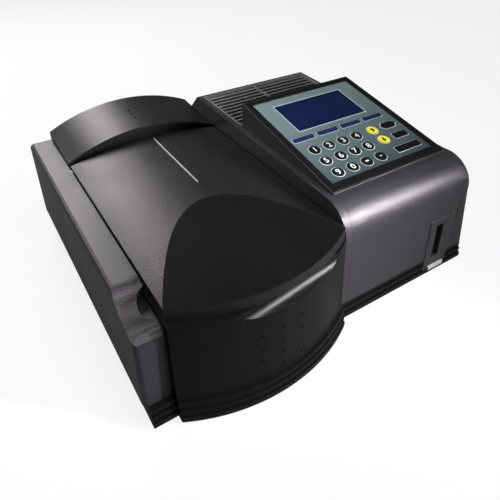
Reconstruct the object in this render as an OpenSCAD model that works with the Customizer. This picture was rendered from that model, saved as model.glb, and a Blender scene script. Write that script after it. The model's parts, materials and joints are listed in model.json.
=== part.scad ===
// Visible spectrophotometer, bench type, with a hinged sample lid and a tilted keypad console.
// Millimetres. +X is the instrument's right, +Y its back, +Z up.
// The origin is the middle of the footprint, on the bench.

/* [Overall] */
// Width over the two flanks
body_w = 470; // [440:5:520]
// Depth from the front of the plinth to the back
body_d = 442; // [430:2:480]
// Height of the rubber feet
foot_h = 4; // [3:0.5:8]
// Height of the ribbed plinth
base_h = 22; // [16:1:28]
// Wall of the moulded covers
wall = 3; // [2:0.25:4]
// Gap at the seams between covers
seam = 0.3; // [0.2:0.05:0.5]

/* [Left wing] */
// Width of the left wing
wing_w = 30; // [28:1:40]
// Height of the wing's top
wing_top = 138; // [130:1:145]
// Distance of the wing's front face behind the plinth's foremost point
wing_set = 44; // [40:1:60]
// Distance of the wing's plinth behind the plinth's foremost point
wing_plinth_set = 34; // [30:1:45]
// Depth of the wing's front step, from the front face to the full height
wing_slope_run = 61; // [50:1:70]
// Height of the low end of the step
wing_slope_z = 118; // [112:1:124]
// Rounding of the step's low front edge
wing_nose_r = 10; // [6:0.5:14]
// Rounding of the step's upper shoulder
wing_shoulder_r = 30; // [20:1:36]
// Radius of the finger scallop beside the lid
scallop_r = 16; // [12:0.5:18]
// Rounding of the wing's outer edges
edge_r = 6; // [3:0.5:9]

/* [Sample bay] */
// Width of the sample bay between the wing and the right housing
bay_w = 217; // [205:1:235]
// Plan radius of the lid's front edge
lid_r = 205; // [195:1:225]
// Height of the lid's side edges
lid_edge_z = 142; // [140:0.5:150]
// Rise of the lid's arched top above its side edges
lid_crown = 11; // [6:0.5:14]
// Height of the lid's skirt
lid_skirt = 16; // [12:0.5:20]
// Gap between the bay's deck and the closed lid
lid_lift = 0.8; // [0.5:0.1:1.5]
// Wall of the lid
lid_wall = 3; // [2:0.25:4]
// Gap beside the lid
lid_gap = 1.5; // [1:0.1:2.5]
// Distance from the lid's front arc to the far end of its sloping facet
facet_run = 150; // [120:2:180]
// How far the foot of the bulge stands outside the lid's arc
bulge_flare = 8; // [6:0.5:12]
// How far the rim of the bulge stands outside the lid's arc
bulge_rim = 5; // [2:0.5:6]
// How far the middle of the bulge lies left of the middle of the lid
bulge_shift = 6; // [0:0.5:8]
// How far the plinth stands outside the lid's arc
base_flare = 15; // [14:0.5:20]
// Largest opening of the lid in degrees
lid_open = 65; // [40:1:70]
// Radius of the hinge pins
hinge_pin_r = 3; // [2:0.25:4]
// Radius of the finger recess's cut
scoop_r = 13; // [10:0.5:16]
// Turn of the finger recess to the right of the middle, in degrees
scoop_turn = 8; // [0:0.5:10]

/* [Rear hood] */
// Height of the hood's crown at its front lip
hood_crown_z = 169; // [165:0.5:175]
// Height of the hood's side edges at its front lip
hood_edge_z = 143; // [141:0.5:150]
// Rise of the hood towards the back, in degrees
hood_tilt = 4.2; // [0:0.1:6]
// Length of the hood from its front lip to the back
hood_len = 95; // [85:1:110]

/* [Right housing] */
// Distance of the front panel behind the plinth's foremost point
front_set = 44; // [38:1:50]
// Radius of the rounded front shoulder
nose_r = 38; // [28:1:44]
// Height of the deck where it leaves the shoulder
deck_z = 160; // [155:0.5:168]
// Rise of the deck towards the back, in degrees
deck_slope = 1.9; // [0:0.1:3]
// Width of the left cheek
cheek_l = 9.4; // [8:0.2:14]
// Width of the right cheek
cheek_r = 27; // [22:1:34]
// Depth of the slope at the back of the deck
rear_run = 47; // [35:1:55]
// Lean of the right flank, in degrees
flank_lean = 6.5; // [3:0.25:8]
// Rounding of the right flank's edges
flank_r = 8; // [5:0.5:10]

/* [Console] */
// Length of the console's face
console_len = 199; // [190:1:210]
// Tilt of the console's face in degrees
console_tilt = 11.35; // [8:0.05:14]
// Step from the deck up to the face's front edge
console_step = 2.2; // [2:0.1:4]
// Distance of the console's front edge behind the front panel
console_set = 36.2; // [36:0.2:44]
// Width of the black bezel
bezel_w = 8; // [6:0.5:10]
// Thickness of the keypad overlay
overlay_t = 1.2; // [1:0.1:1.8]
// Width of the display window
lcd_w = 114; // [100:1:120]
// Height of the display window
lcd_h = 60; // [50:1:64]

/* [Keys] */
// Pitch of the digit keys
key_pitch = 23; // [21:0.25:24]
// Radius of a round key
key_r = 7.4; // [6:0.1:8.5]
// Clearance round a key
key_gap = 0.25; // [0.15:0.05:0.4]
// Travel of a key
key_travel = 0.8; // [0.5:0.1:1.2]
// How far a key stands above the overlay
key_proud = 1; // [0.9:0.1:2]

/* [Louvre] */
// Depth of the louvre grille
louvre_len = 112; // [90:2:116]
// Pitch of the slats
slat_pitch = 10.2; // [8:0.2:14]
// Thickness of a slat
slat_t = 2.2; // [1.5:0.1:3]

/* [Card slot] */
// Width of the slot plate
slot_plate_w = 43; // [36:1:50]
// Height of the slot plate above the plinth
slot_plate_h = 63.5; // [58:0.5:70]
// Height of the slot
slot_h = 52; // [48:1:56]
// Width of the slot
slot_w = 12; // [8:0.5:14]
// Travel of the eject key
eject_travel = 2; // [1:0.1:3]

/* [Sample changer] */
// Inner width of the sample chamber
chamber_w = 128; // [110:2:140]
// Inner length of the sample chamber
chamber_l = 168; // [160:2:180]
// Inner depth of the sample chamber
chamber_depth = 72; // [66:1:78]
// Height of the light beam
beam_z = 86; // [82:1:90]
// Pitch of the cell pockets
cell_pitch = 20; // [18:0.5:22]
// Side of a cell pocket
cell_side = 12.6; // [12.5:0.1:13]
// Travel of the carriage
carriage_travel = 60; // [40:1:62]
// Radius of the carriage rails
rail_r = 3; // [2:0.25:4]

/* [Hidden] */
$fn = 96;
cut = 0.5;

// Places shared by several pieces
x_l = -body_w / 2;
x_r = body_w / 2;
y_f = -body_d / 2;
y_b = body_d / 2;
base_top = foot_h + base_h;
x_w = x_l + wing_w;
x_d = x_w + bay_w;
x_bay = (x_w + x_d) / 2;
y_arc = y_f + lid_r + base_flare;
arc_x = x_bay - bulge_shift;
flank_inset = 4;
deck_top = lid_edge_z - lid_skirt;

scoop_depth = 6;

// Plinth
band_n = 3;
groove_h = 1.4;
groove_d = 1.4;
band_step = 1.6;
band_h = (base_h - (band_n - 1) * groove_h) / band_n;
floor_t = 3;
tray_wall = 3;
foot_r = 9;
foot_in = 26;

// Right section
y_rf = y_f + front_set;
y_rf_base = y_rf - 2.5;
nose_y = y_rf + nose_r;
nose_z = deck_z - nose_r;
deck_y = nose_y - nose_r * sin(deck_slope);
deck_t = nose_z + nose_r * cos(deck_slope);
y_db = y_b - rear_run;
function deck_at(y) = deck_t + (y - deck_y) * tan(deck_slope);
panel_x0 = x_d + cheek_l;
panel_x1 = x_r - cheek_r;
console_y0 = y_rf + console_set;
console_z0 = deck_at(console_y0) + console_step;
console_w = panel_x1 - panel_x0;
console_y1 = console_y0 + console_len * cos(console_tilt);
console_z1 = console_z0 + console_len * sin(console_tilt);
louvre_y0 = y_db - 4 - louvre_len;
louvre_y1 = y_db - 4;
louvre_x0 = panel_x0 - 1;
louvre_x1 = panel_x1 + 1;

// Lid and hood
hinge_y = y_b - hood_len - 10;
hinge_z = deck_top + 8;
lid_x0 = x_w + lid_gap;
lid_x1 = x_d - lid_gap;
lid_half = (lid_x1 - lid_x0) / 2;
lid_arch_r = (lid_half * lid_half + lid_crown * lid_crown) / (2 * lid_crown);
lid_back_y = hinge_y + 4;
hood_y0 = y_b - hood_len;
hood_half = bay_w / 2;
hood_rise = hood_crown_z - hood_edge_z;
hood_arch_r = (hood_half * hood_half + hood_rise * hood_rise) / (2 * hood_rise);
hood_wall_y = hood_y0 + 13;
hood_top = hood_crown_z + hood_len * tan(hood_tilt);
hood_dot_y = hood_y0 + 30;
hood_dot_pitch = 11.5;
corner_drop = lid_r - sqrt(lid_r * lid_r - lid_half * lid_half);
facet_slope = atan(lid_crown / (facet_run - corner_drop));
strip_r = 1.6;
strip_x = x_bay + 8;
strip_len = 134;
strip_y1 = lid_back_y - 8;

// Sample chamber and changer
chamber_back = 5;
chamber_y = (y_arc - lid_r + hinge_y) / 2 + chamber_back;
tub_wall = 2.5;
tub_flange = 6;
chamber_floor = deck_top - chamber_depth;
carriage_l = 4 * cell_pitch + 10;
carriage_w = 46;
cell_floor = beam_z - 17;
rail_z = chamber_floor + 10;
rail_dx = 16;
rail_clear = 0.06;
port_r = 7;
carriage_y = chamber_y - carriage_travel / 2;
cell_body = cell_side - 0.1;
screw_r = 2.5;
motor_y = chamber_y + chamber_l / 2 + tub_wall;

// Keys: name, shape, centre from the face's left edge, centre from its far edge, width, height.
// The table is drawn for a face of pad_w by pad_l, and the layout follows the console's real face.
pad_w = 186.6;
pad_l = 199;
ku = console_w / pad_w;
kv = console_len / pad_l;
kk = min(ku, kv);
key_u0 = 29.8;
key_v0 = 125;
function digit(n, c, r) = [str("key_", n), "round", key_u0 + c * key_pitch, key_v0 + r * key_pitch,
    2 * key_r, 2 * key_r];
KEYS = [
    digit("one", 0, 0), digit("two", 1, 0), digit("three", 2, 0), digit("four", 3, 0),
    digit("five", 0, 1), digit("six", 1, 1), digit("seven", 2, 1), digit("eight", 3, 1),
    digit("nine", 0, 2), digit("zero", 1, 2), digit("minus", 2, 2), digit("point", 3, 2),
    ["key_up", "round", 127, 125, 2 * key_r, 2 * key_r],
    ["key_down", "round", 127, 146.8, 2 * key_r, 2 * key_r],
    ["key_function_1", "bar", 31, 100.5, 32, 7],
    ["key_function_2", "bar", 70, 100.5, 32, 7],
    ["key_function_3", "bar", 109, 100.5, 32, 7],
    ["key_function_4", "bar", 148, 100.5, 32, 7],
    ["key_edit", "hex", 156, 124, 25, 12],
    ["key_return", "bar", 156, 147, 22, 10],
    ["key_enter", "bar", 147, 170.5, 40, 10]];
bar_r = 1.2;
hex_cut = 5 * ku;
key_flange = 1;
flange_t = 1.2;
board_gap = 7;
lcd_u = 35.5 * ku;
lcd_v = 25.5 * kv;
lcd_u1 = lcd_u + lcd_w * ku;
lcd_v1 = lcd_v + lcd_h * kv;

module box(a, b) {
    translate(a) cube([b[0] - a[0], b[1] - a[1], b[2] - a[2]]);
}

module along_x(x0, x1) {
    translate([x0, 0, 0]) rotate([90, 0, 90]) linear_extrude(x1 - x0) children();
}

module along_y(y0, y1) {
    translate([0, y1, 0]) rotate([90, 0, 0]) linear_extrude(y1 - y0) children();
}

module rod_x(x0, x1, y, z, r) {
    translate([x0, y, z]) rotate([0, 90, 0]) cylinder(h = x1 - x0, r = r);
}

module rod_y(y0, y1, x, z, r) {
    translate([x, y1, z]) rotate([90, 0, 0]) cylinder(h = y1 - y0, r = r);
}

// Rectangle with round corners, centred, made of squares and circles
module round_rect(w, h, r) {
    square([w - 2 * r, h], center = true);
    square([w, h - 2 * r], center = true);
    for (i = [-1, 1], j = [-1, 1]) translate([i * (w / 2 - r), j * (h / 2 - r)]) circle(r);
}

// Plinth

// Plan of the plinth; grow moves the bay's arc and the two straight fronts forward
module base_plan(grow) {
    translate([x_l + flank_inset, y_f + wing_plinth_set - grow])
        square([wing_w - flank_inset + cut, y_b - 2 - y_f - wing_plinth_set + grow]);
    intersection() {
        translate([arc_x, y_arc]) circle(lid_r + base_flare + grow);
        translate([x_w, y_f - 5]) square([bay_w, y_b - 2 - y_f + 5]);
        translate([x_w, y_f - 5]) square([bay_w, body_d / 2 + 5]);
    }
    translate([x_w, -1]) square([bay_w, y_b - 1]);
    translate([x_d - cut, y_rf_base - grow])
        square([x_r - flank_inset - x_d + cut, y_b - 2 - y_rf_base + grow]);
}

module foot_places() {
    for (x = [x_l + foot_in, x_r - foot_in]) {
        translate([x, y_b - foot_in - 6]) children();
    }
    translate([x_l + foot_in, y_f + wing_set + foot_in]) children();
    translate([x_r - foot_in, y_rf + foot_in + 16]) children();
}

module base_tray() {
    color("#17171a") difference() {
        union() {
            for (i = [0:band_n - 1]) {
                translate([0, 0, foot_h + i * (band_h + groove_h)])
                    linear_extrude(band_h) base_plan(-i * band_step);
            }
            for (i = [0:band_n - 2]) {
                translate([0, 0, foot_h + i * (band_h + groove_h) + band_h])
                    linear_extrude(groove_h) base_plan(-i * band_step - groove_d - band_step);
            }
        }
        translate([0, 0, foot_h + floor_t])
            linear_extrude(base_h) base_hollow();
        slot_plate_hole();
        translate([0, 0, foot_h - cut]) for (k = [0:6])
            translate([60 + k * 18, 60, 0]) linear_extrude(floor_t + 2 * cut)
                round_rect(6, 60, 2.9);
    }
}

// Inner outline of the plinth's tray
module base_hollow() {
    t = tray_wall + band_n * band_step + groove_d;
    intersection() {
        translate([arc_x, y_arc]) circle(lid_r + base_flare - t);
        translate([x_w - cut, y_f]) square([bay_w + 2 * cut, body_d / 2]);
    }
    translate([x_w - cut, -1]) square([bay_w + 2 * cut, y_b - 1 - tray_wall]);
    translate([x_l + flank_inset + tray_wall, y_f + wing_plinth_set + t])
        square([wing_w - flank_inset - tray_wall, y_b - 2 - tray_wall - y_f - wing_plinth_set - t]);
    translate([x_d, y_rf_base + t])
        square([x_r - flank_inset - tray_wall - x_d, y_b - 2 - tray_wall - y_rf_base - t]);
}

module rubber_feet() {
    color("#101010") foot_places() {
        cylinder(h = foot_h, r = foot_r);
    }
}

// Left wing

wing_y = y_f + wing_set;
step_y = wing_y + wing_slope_run;
step_h = wing_top - wing_slope_z;
step_l = wing_slope_run - wing_nose_r - 1;
step_sum = (step_l * step_l + step_h * step_h) / (2 * step_h);
step_low_r = step_sum - wing_shoulder_r;
step_turn = step_low_r / step_sum;

// Side profile of the wing: its front rises in an S to the full height
module wing_profile(x0, x1) {
    low = step_y - step_l;
    difference() {
        union() {
            along_x(x0, x1) polygon([[wing_y, base_top - cut], [wing_y, wing_slope_z - wing_nose_r],
                [wing_y + wing_nose_r, wing_slope_z - wing_nose_r], [wing_y + wing_nose_r, wing_slope_z],
                [low, wing_slope_z], [low + step_turn * step_l, wing_slope_z + step_turn * step_h],
                [step_y, wing_top - wing_shoulder_r], [step_y, wing_top], [y_b, wing_top],
                [y_b, base_top - cut]]);
            rod_x(x0, x1, wing_y + wing_nose_r, wing_slope_z - wing_nose_r, wing_nose_r - 0.03);
            rod_x(x0, x1, step_y, wing_top - wing_shoulder_r, wing_shoulder_r - 0.03);
        }
        rod_x(x0 - cut, x1 + cut, low, wing_slope_z + step_low_r, step_low_r + 0.03);
    }
}

// Rounds the wing's outer top edge and its outer front corner; t insets it for the hollow
module wing_envelope(t, lip) {
    r = edge_r - t * 0.5;
    intersection() {
        along_y(y_f, y_b + cut) {
            translate([x_l + t + edge_r, 0]) square([wing_w, wing_top - t]);
            translate([x_l + t, 0]) square([wing_w, wing_top - edge_r]);
            translate([x_l + edge_r + t * 0.5, wing_top - edge_r - t * 0.5]) circle(r);
        }
        translate([0, 0, base_top + lip]) linear_extrude(wing_top) {
            translate([x_l + t + edge_r, y_f]) square([wing_w, body_d + cut]);
            translate([x_l + t, wing_y + edge_r]) square([wing_w, body_d]);
            translate([x_l + edge_r + t * 0.5, wing_y + edge_r + t * 0.5]) circle(r);
        }
    }
}

module wing_hollow() {
    low = wing_slope_z - wall - 1;
    intersection() {
        along_x(x_l + wall, x_w - wall) polygon([[wing_y + wall, base_top - cut],
            [wing_y + wall, wing_slope_z - wing_nose_r - 2], [wing_y + wall + 7, low],
            [step_y - 5, low], [step_y + 4, wing_top - wall - 1], [step_y + 10, wing_top - wall],
            [y_b - wall, wing_top - wall], [y_b - wall, base_top - cut]]);
        wing_envelope(wall, wall + 1);
    }
}

module left_housing() {
    color("#3b3b3e") difference() {
        intersection() {
            wing_profile(x_l, x_w);
            wing_envelope(0, 0);
        }
        difference() {
            wing_hollow();
            box([x_w - wall - 6, hinge_y - 8, hinge_z - 8], [x_w, hinge_y + 8, wing_top]);
        }
        box([x_l + 9, wing_y + 9, base_top - cut], [x_w - 5, y_b - 9, base_top + wall + 2]);
        translate([x_w + scallop_r * 0.25, step_y - wing_slope_run / 2, wing_slope_z])
            cylinder(h = wing_top, r = scallop_r);
        rod_x(x_w - wall - 6 - cut, x_w + cut, hinge_y, hinge_z, hinge_pin_r + 0.02);
        rod_x(x_w - wall - cut, x_w + cut, chamber_y, beam_z, port_r);
    }
}

// Sample bay

module bay_cone(inset) {
    translate([arc_x, y_arc, base_top]) cylinder(h = deck_top - base_top,
        r1 = lid_r + bulge_flare - inset, r2 = lid_r + bulge_rim - inset);
}

module bay_strip(inset) {
    box([x_w + seam + inset, y_f, base_top], [x_d - seam - inset, y_arc, deck_top + cut]);
}

module scoop(extra) {
    translate([arc_x, y_arc, 0]) rotate([0, 0, scoop_turn])
        rod_x(-84, 84, scoop_depth - lid_r - scoop_r, deck_top, scoop_r + extra);
}

module bay_shell() {
    color("#1c1c1f") difference() {
        union() {
            intersection() {
                difference() {
                    bay_cone(0);
                    translate([0, 0, -cut]) bay_cone(wall);
                }
                bay_strip(0);
            }
            intersection() {
                bay_cone(0);
                bay_strip(0);
                scoop(wall);
            }
            intersection() {
                bay_cone(0);
                bay_strip(0);
                box([x_w, y_f, deck_top - wall], [x_d, y_arc, deck_top]);
            }
            box([x_w + seam, y_arc - 1, deck_top - wall], [x_d - seam, hood_wall_y - seam, deck_top]);
            for (x = [x_w + seam, x_d - seam - wall]) {
                intersection() {
                    bay_cone(0);
                    box([x, y_f, base_top], [x + wall, y_arc, deck_top]);
                }
                box([x, y_arc - 1, base_top], [x + wall, hood_wall_y - seam, deck_top]);
            }
        }
        scoop(0);
        translate([x_bay, chamber_y, deck_top - wall - cut])
            linear_extrude(wall + 2 * cut)
                round_rect(chamber_w + 2 * tub_wall + 0.6, chamber_l + 2 * tub_wall + 0.6, 6);
        rod_x(x_w, x_d, chamber_y, beam_z, port_r);
        dimples();
    }
}

dimple_r = 1.8;
dimple_depth = 1.2;
dimple_z = 11;
dimple_pitch = 17.3;
dimple_step = 6.6;
dimple_turn = 1.8;

// Twelve shallow dimples on the bulge, in three columns and four rows
module dimples() {
    for (c = [-1:1], r = [0:3]) {
        translate([arc_x, y_arc, base_top + dimple_z + r * dimple_pitch])
            rotate([0, 0, dimple_turn + c * dimple_step]) translate([0, -lid_r - bulge_flare, 0])
                rotate([-90, 0, 0]) cylinder(h = dimple_depth + (dimple_z + r * dimple_pitch)
                    * (bulge_flare - bulge_rim) / (deck_top - base_top), r = dimple_r);
    }
}

module hood_solid(t) {
    translate([x_bay, hood_y0, hood_crown_z - t]) rotate([hood_tilt, 0, 0])
        translate([0, -20, -hood_arch_r]) rotate([-90, 0, 0])
            cylinder(h = hood_len + 40, r = hood_arch_r);
}

module rear_hood() {
    color("#2a2a2d") difference() {
        intersection() {
            hood_solid(0);
            box([x_w + seam, hood_y0, base_top], [x_d - seam, y_b, hood_top + cut]);
        }
        difference() {
            intersection() {
                hood_solid(wall);
                box([x_w + seam + wall, hood_y0 - cut, base_top - cut],
                    [x_d - seam - wall, y_b - wall, hood_top]);
            }
            box([x_w, hood_wall_y, base_top - cut], [x_d, hood_wall_y + wall, hood_top]);
        }
        box([x_w, hood_y0 - cut, base_top - cut], [x_d, hood_wall_y, hood_edge_z - wall]);
        for (k = [0:2]) translate([x_bay - 1, hood_dot_y + k * hood_dot_pitch,
            hood_crown_z + (hood_dot_y + k * hood_dot_pitch - hood_y0) * tan(hood_tilt) - 1.2])
            cylinder(h = 20, r = 1.9);
    }
}

// Lid

module lid_arch(t, grow) {
    translate([x_bay, y_f - 10, lid_edge_z + lid_crown - lid_arch_r - t]) rotate([-90, 0, 0])
        cylinder(h = body_d, r = lid_arch_r + grow);
}

// Half space under the sloping facet at the lid's front
module facet_half(t) {
    translate([x_l, y_arc - lid_r + corner_drop, lid_edge_z - t]) rotate([facet_slope, 0, 0])
        translate([0, -200, -200]) cube([body_w, 700, 200]);
}

module lid_plan(t) {
    intersection() {
        translate([x_bay, y_arc]) circle(lid_r - t);
        translate([lid_x0 + t, y_f]) square([2 * (lid_half - t), body_d / 2]);
    }
    translate([lid_x0 + t, y_f + body_d / 2 - 1])
        square([2 * (lid_half - t), lid_back_y - t - y_f - body_d / 2 + 1]);
}

module lid() {
    color("#2b2b2e") difference() {
        union() {
            difference() {
                intersection() {
                    translate([0, 0, deck_top + lid_lift])
                        linear_extrude(lid_skirt + lid_crown + 1) lid_plan(0);
                    lid_arch(0, 0);
                    facet_half(0);
                }
                intersection() {
                    translate([0, 0, deck_top - cut])
                        linear_extrude(lid_skirt + lid_crown) lid_plan(lid_wall);
                    lid_arch(lid_wall, 0);
                    facet_half(lid_wall);
                }
            }
            for (x = [lid_x0 + 1, lid_x1 - 15]) rod_x(x, x + 14, hinge_y, hinge_z, hinge_pin_r + 3);
        }
        for (x = [lid_x0 - cut, lid_x1 - 12])
            rod_x(x, x + 12 + cut, hinge_y, hinge_z, hinge_pin_r + 0.06);
        box([lid_x0 - 1, hinge_y - 4, deck_top], [lid_x1 + 1, hinge_y + 9, hinge_z - hinge_pin_r - 3.2]);
        strip_groove();
    }
}

strip_z = lid_edge_z + lid_crown - lid_arch_r + sqrt(lid_arch_r * lid_arch_r - 64);

module strip_groove() {
    rod_y(strip_y1 - strip_len, strip_y1, strip_x, strip_z + 0.3, strip_r + 0.05);
    translate([strip_x, strip_y1 - strip_len - 1.5, strip_z - 1.2]) cylinder(h = 5, r = 3.2);
}

module lid_strip() {
    color("#d8d8dc") rod_y(strip_y1 - strip_len - 0.6, strip_y1 - 0.1, strip_x, strip_z + 0.3, strip_r);
}

module hinge_pins() {
    color("#b8bcc0") {
        rod_x(x_w - wall - 6, lid_x0 + 10, hinge_y, hinge_z, hinge_pin_r);
        rod_x(lid_x1 - 10, x_d + wall + 5, hinge_y, hinge_z, hinge_pin_r);
    }
}

// Right housing

// The right section between two planes; t insets it for the hollow, z0 is its underside
module right_block(x0, x1, t, z0) {
    k = t * tan(22.5);
    r = nose_r - t;
    along_x(x0, x1) polygon([[y_rf + t, z0], [y_rf + t, nose_z], [nose_y, nose_z],
        [nose_y - r * sin(deck_slope), nose_z + r * cos(deck_slope)],
        [y_db - k, deck_at(y_db - k) - t / cos(deck_slope)],
        [y_b - t, deck_at(y_db) - rear_run - k], [y_b - t, z0]]);
    rod_x(x0, x1, nose_y, nose_z, r - 0.03);
}

// Moves children to the leaning flank: x outwards from it, z up along it from the plinth
module on_flank() {
    translate([x_r, 0, base_top]) rotate([0, -flank_lean, 0]) children();
}

// Cone that touches the rounding of the shoulder's edge at an angle
module nose_cone(a, nz, g) {
    r = flank_r;
    rho = nose_r - r + g + r * cos(a);
    translate([-r - 1, nose_y, nz]) rotate([0, 90, 0]) cylinder(h = r + 2,
        r1 = rho + (r * sin(a) + 1) * tan(a), r2 = rho - (r + 1 - r * sin(a)) * tan(a));
}

// What the rounding takes off the flank's front, shoulder and deck edges
module flank_rounding() {
    r = flank_r;
    g = 0.05;
    nz = (nose_z - base_top + r * sin(flank_lean)) / cos(flank_lean);
    on_flank() difference() {
        box([-r, y_rf - 1, -base_h], [x_r, y_b + 1, deck_z + base_h]);
        box([-r - 1, y_rf + r, -base_h - 1], [0, y_b + 2, nz]);
        translate([-r, y_rf + r - g, -base_h - 1]) cylinder(h = nz + base_h + 1, r = r);
        translate([-r - 1, nose_y, nz]) rotate([0, 90, 0]) cylinder(h = r + 1, r = nose_r - r + g);
        intersection() {
            nose_cone(22.5, nz, g);
            nose_cone(67.5, nz, g);
        }
        translate([0, nose_y, nz]) rotate([deck_slope, 0, 0]) {
            box([-r - 1, 0, -nose_r], [0, body_d, nose_r - r + g]);
            translate([-r, 0, nose_r - r + g]) rotate([-90, 0, 0]) cylinder(h = body_d, r = r);
        }
    }
}

module right_housing() {
    color("#46464a") difference() {
        intersection() {
            right_block(x_d, x_r, 0, base_top);
            on_flank() box([-body_w, y_f, -base_h], [0, y_b + 1, deck_z + base_h]);
        }
        flank_rounding();
        difference() {
            intersection() {
                right_block(x_d + wall, x_r - wall, wall, base_top + wall + 1);
                on_flank() box([-body_w, y_f, -base_h], [-wall - 1.5, y_b, deck_z + base_h]);
            }
            box([x_d, hinge_y - 8, hinge_z - 8], [x_d + wall + 6, hinge_y + 8, hinge_z + 8]);
        }
        box([x_d + 4, y_rf + 11, base_top - cut], [x_r - 9, y_b - 9, base_top + wall + 2]);
        box([panel_x0, y_f, base_top - cut], [panel_x1, console_y0, deck_z + 20]);
        box([panel_x0 + 12, console_y0 + 12, deck_z - 20],
            [panel_x1 - 12, console_y1 - 12, deck_z + 20]);
        box([louvre_x0 - 0.15, louvre_y0 - 0.15, deck_z - 20],
            [louvre_x1 + 0.15, louvre_y1 + 0.15, deck_z + 30]);
        rod_x(x_d - cut, x_d + wall + 6 + cut, hinge_y, hinge_z, hinge_pin_r + 0.02);
        rod_x(x_d - cut, x_d + wall + cut, chamber_y, beam_z, port_r);
        inlet_holes();
    }
}

module front_panel() {
    color("#4a4a4e") difference() {
        right_block(panel_x0 + seam, panel_x1 - seam, 0, base_top + 0.1);
        right_block(panel_x0 - cut, panel_x1 + cut, wall, base_top - cut);
        box([panel_x0, console_y0 - seam, 0], [panel_x1, y_b + 1, deck_z + 40]);
        slot_plate_hole();
    }
}

slot_x1 = x_r - 34.5;
slot_x0 = slot_x1 - slot_plate_w;
slot_top = base_top + slot_plate_h;
slot_depth = 14;
slot_cx = slot_x0 + slot_plate_w * 0.44;
eject_cx = slot_x0 + slot_plate_w * 0.53;
eject_back = y_rf + slot_depth - 3.5;

module slot_plate_hole() {
    box([slot_x0, y_f, foot_h + floor_t], [slot_x1, y_rf + slot_depth, slot_top]);
}

module card_slot_plate() {
    g = 0.2;
    color("#5a5a5e") difference() {
        box([slot_x0 + g, y_rf - 0.8, foot_h + floor_t], [slot_x1 - g, y_rf + slot_depth - 1, slot_top - g]);
        box([slot_cx - slot_w / 2, y_rf - 2, slot_top - 10.5 - slot_h],
            [slot_cx + slot_w / 2, y_rf + slot_depth + 1, slot_top - 10.5]);
        box([eject_cx - 14.2, y_rf - 2, foot_h + floor_t + 1], [eject_cx + 14.2, eject_back, foot_h + floor_t + 6.6]);
    }
}

module eject_key() {
    color("#e9e9ea") box([eject_cx - 14, y_rf - 3.2, foot_h + floor_t + 1.2],
        [eject_cx + 14, eject_back - eject_travel - 0.3, foot_h + floor_t + 6.4]);
}

module louvre_grille() {
    zc = deck_at((louvre_y0 + louvre_y1) / 2);
    lx = louvre_x1 - louvre_x0;
    n = floor((louvre_len - 8) / slat_pitch);
    color("#55555a") translate([louvre_x0, louvre_y0, deck_at(louvre_y0)])
        rotate([deck_slope, 0, 0]) {
            difference() {
                translate([0, 0, -wall - 6]) cube([lx, louvre_len, wall + 6]);
                translate([3, 3, -wall - 8]) cube([lx - 6, louvre_len - 6, wall + 10]);
            }
            translate([lx * 0.48 - 1, 1, -wall - 5]) cube([2, louvre_len - 2, wall + 5]);
            for (i = [0:n - 1]) translate([1, 5 + (i + 0.4) * slat_pitch, -0.6])
                rotate([-52, 0, 0]) translate([0, 0, -slat_t])
                    cube([lx - 2, slat_pitch * 0.98, slat_t]);
        }
}

// Console

// Moves children to the tilted face: x from its left edge, y from its far edge downwards, z above it
module on_face() {
    translate([panel_x0, console_y1, console_z1]) rotate([console_tilt, 0, 0]) children();
}

module face_plate(x0, x1, v0, v1, z0, z1) {
    translate([x0, -v1, z0]) cube([x1 - x0, v1 - v0, z1 - z0]);
}

bezel_in = 2;
bezel_drop = 1.9;
bezel_proud = 0.6;
pane = bezel_in + bezel_w;

module console_housing() {
    z_low = deck_at(console_y0);
    color("#505055") difference() {
        along_x(panel_x0, panel_x1) polygon([[console_y0, z_low],
            [console_y0, console_z0], [console_y1, console_z1], [console_y1, deck_at(console_y1)]]);
        along_x(panel_x0 + wall, panel_x1 - wall) polygon([[console_y0 + wall, z_low - 5],
            [console_y0 + wall, console_z0 - wall - 1.6], [console_y1 - wall, console_z1 - wall - 2.8],
            [console_y1 - wall, z_low - 5]]);
        on_face() face_plate(bezel_in, console_w - bezel_in, bezel_in, console_len - bezel_in,
            -bezel_drop, 5);
        on_face() face_plate(pane + 2.5, console_w - pane - 2.5, pane + 4, console_len - (pane + 8) * kv,
            -wall - 8, 1);
    }
}

module console_bezel() {
    g = 0.15;
    color("#141416") on_face() difference() {
        face_plate(bezel_in + g, console_w - bezel_in - g, bezel_in + g, console_len - bezel_in - g,
            -bezel_drop, bezel_proud);
        face_plate(pane, console_w - pane, pane, console_len - pane - 4, -bezel_drop - 1, 5);
    }
}

module key_outline(k, grow) {
    if (k[1] == "round") circle(r = k[4] / 2 * kk + grow);
    if (k[1] == "bar") round_rect(k[4] * ku + 2 * grow, k[5] * kv + 2 * grow, bar_r + grow);
    if (k[1] == "hex") {
        w = k[4] / 2 * ku + grow * 1.2;
        h = k[5] / 2 * kv + grow;
        polygon([[-w, 0], [hex_cut - w, -h], [w - hex_cut, -h], [w, 0], [w - hex_cut, h], [hex_cut - w, h]]);
    }
}

module at_key(k) {
    translate([k[2] * ku, -k[3] * kv, 0]) children();
}

overlay_top = -bezel_drop + overlay_t;

module keypad_overlay() {
    g = 0.15;
    color("#7f9c9c") on_face() difference() {
        face_plate(pane + g, console_w - pane - g, pane + g, console_len - pane - 4 - g,
            -bezel_drop, overlay_top);
        face_plate(lcd_u, lcd_u1, lcd_v, lcd_v1, -bezel_drop - 1, 5);
        for (k = KEYS) at_key(k) translate([0, 0, -bezel_drop - 1])
            linear_extrude(overlay_t + 3) key_outline(k, key_gap);
    }
}

module display_window() {
    g = 0.1;
    color("#1f2f66") on_face() face_plate(lcd_u + g, lcd_u1 - g, lcd_v + g,
        lcd_v1 - g, -bezel_drop, overlay_top - 0.2);
}

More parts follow.
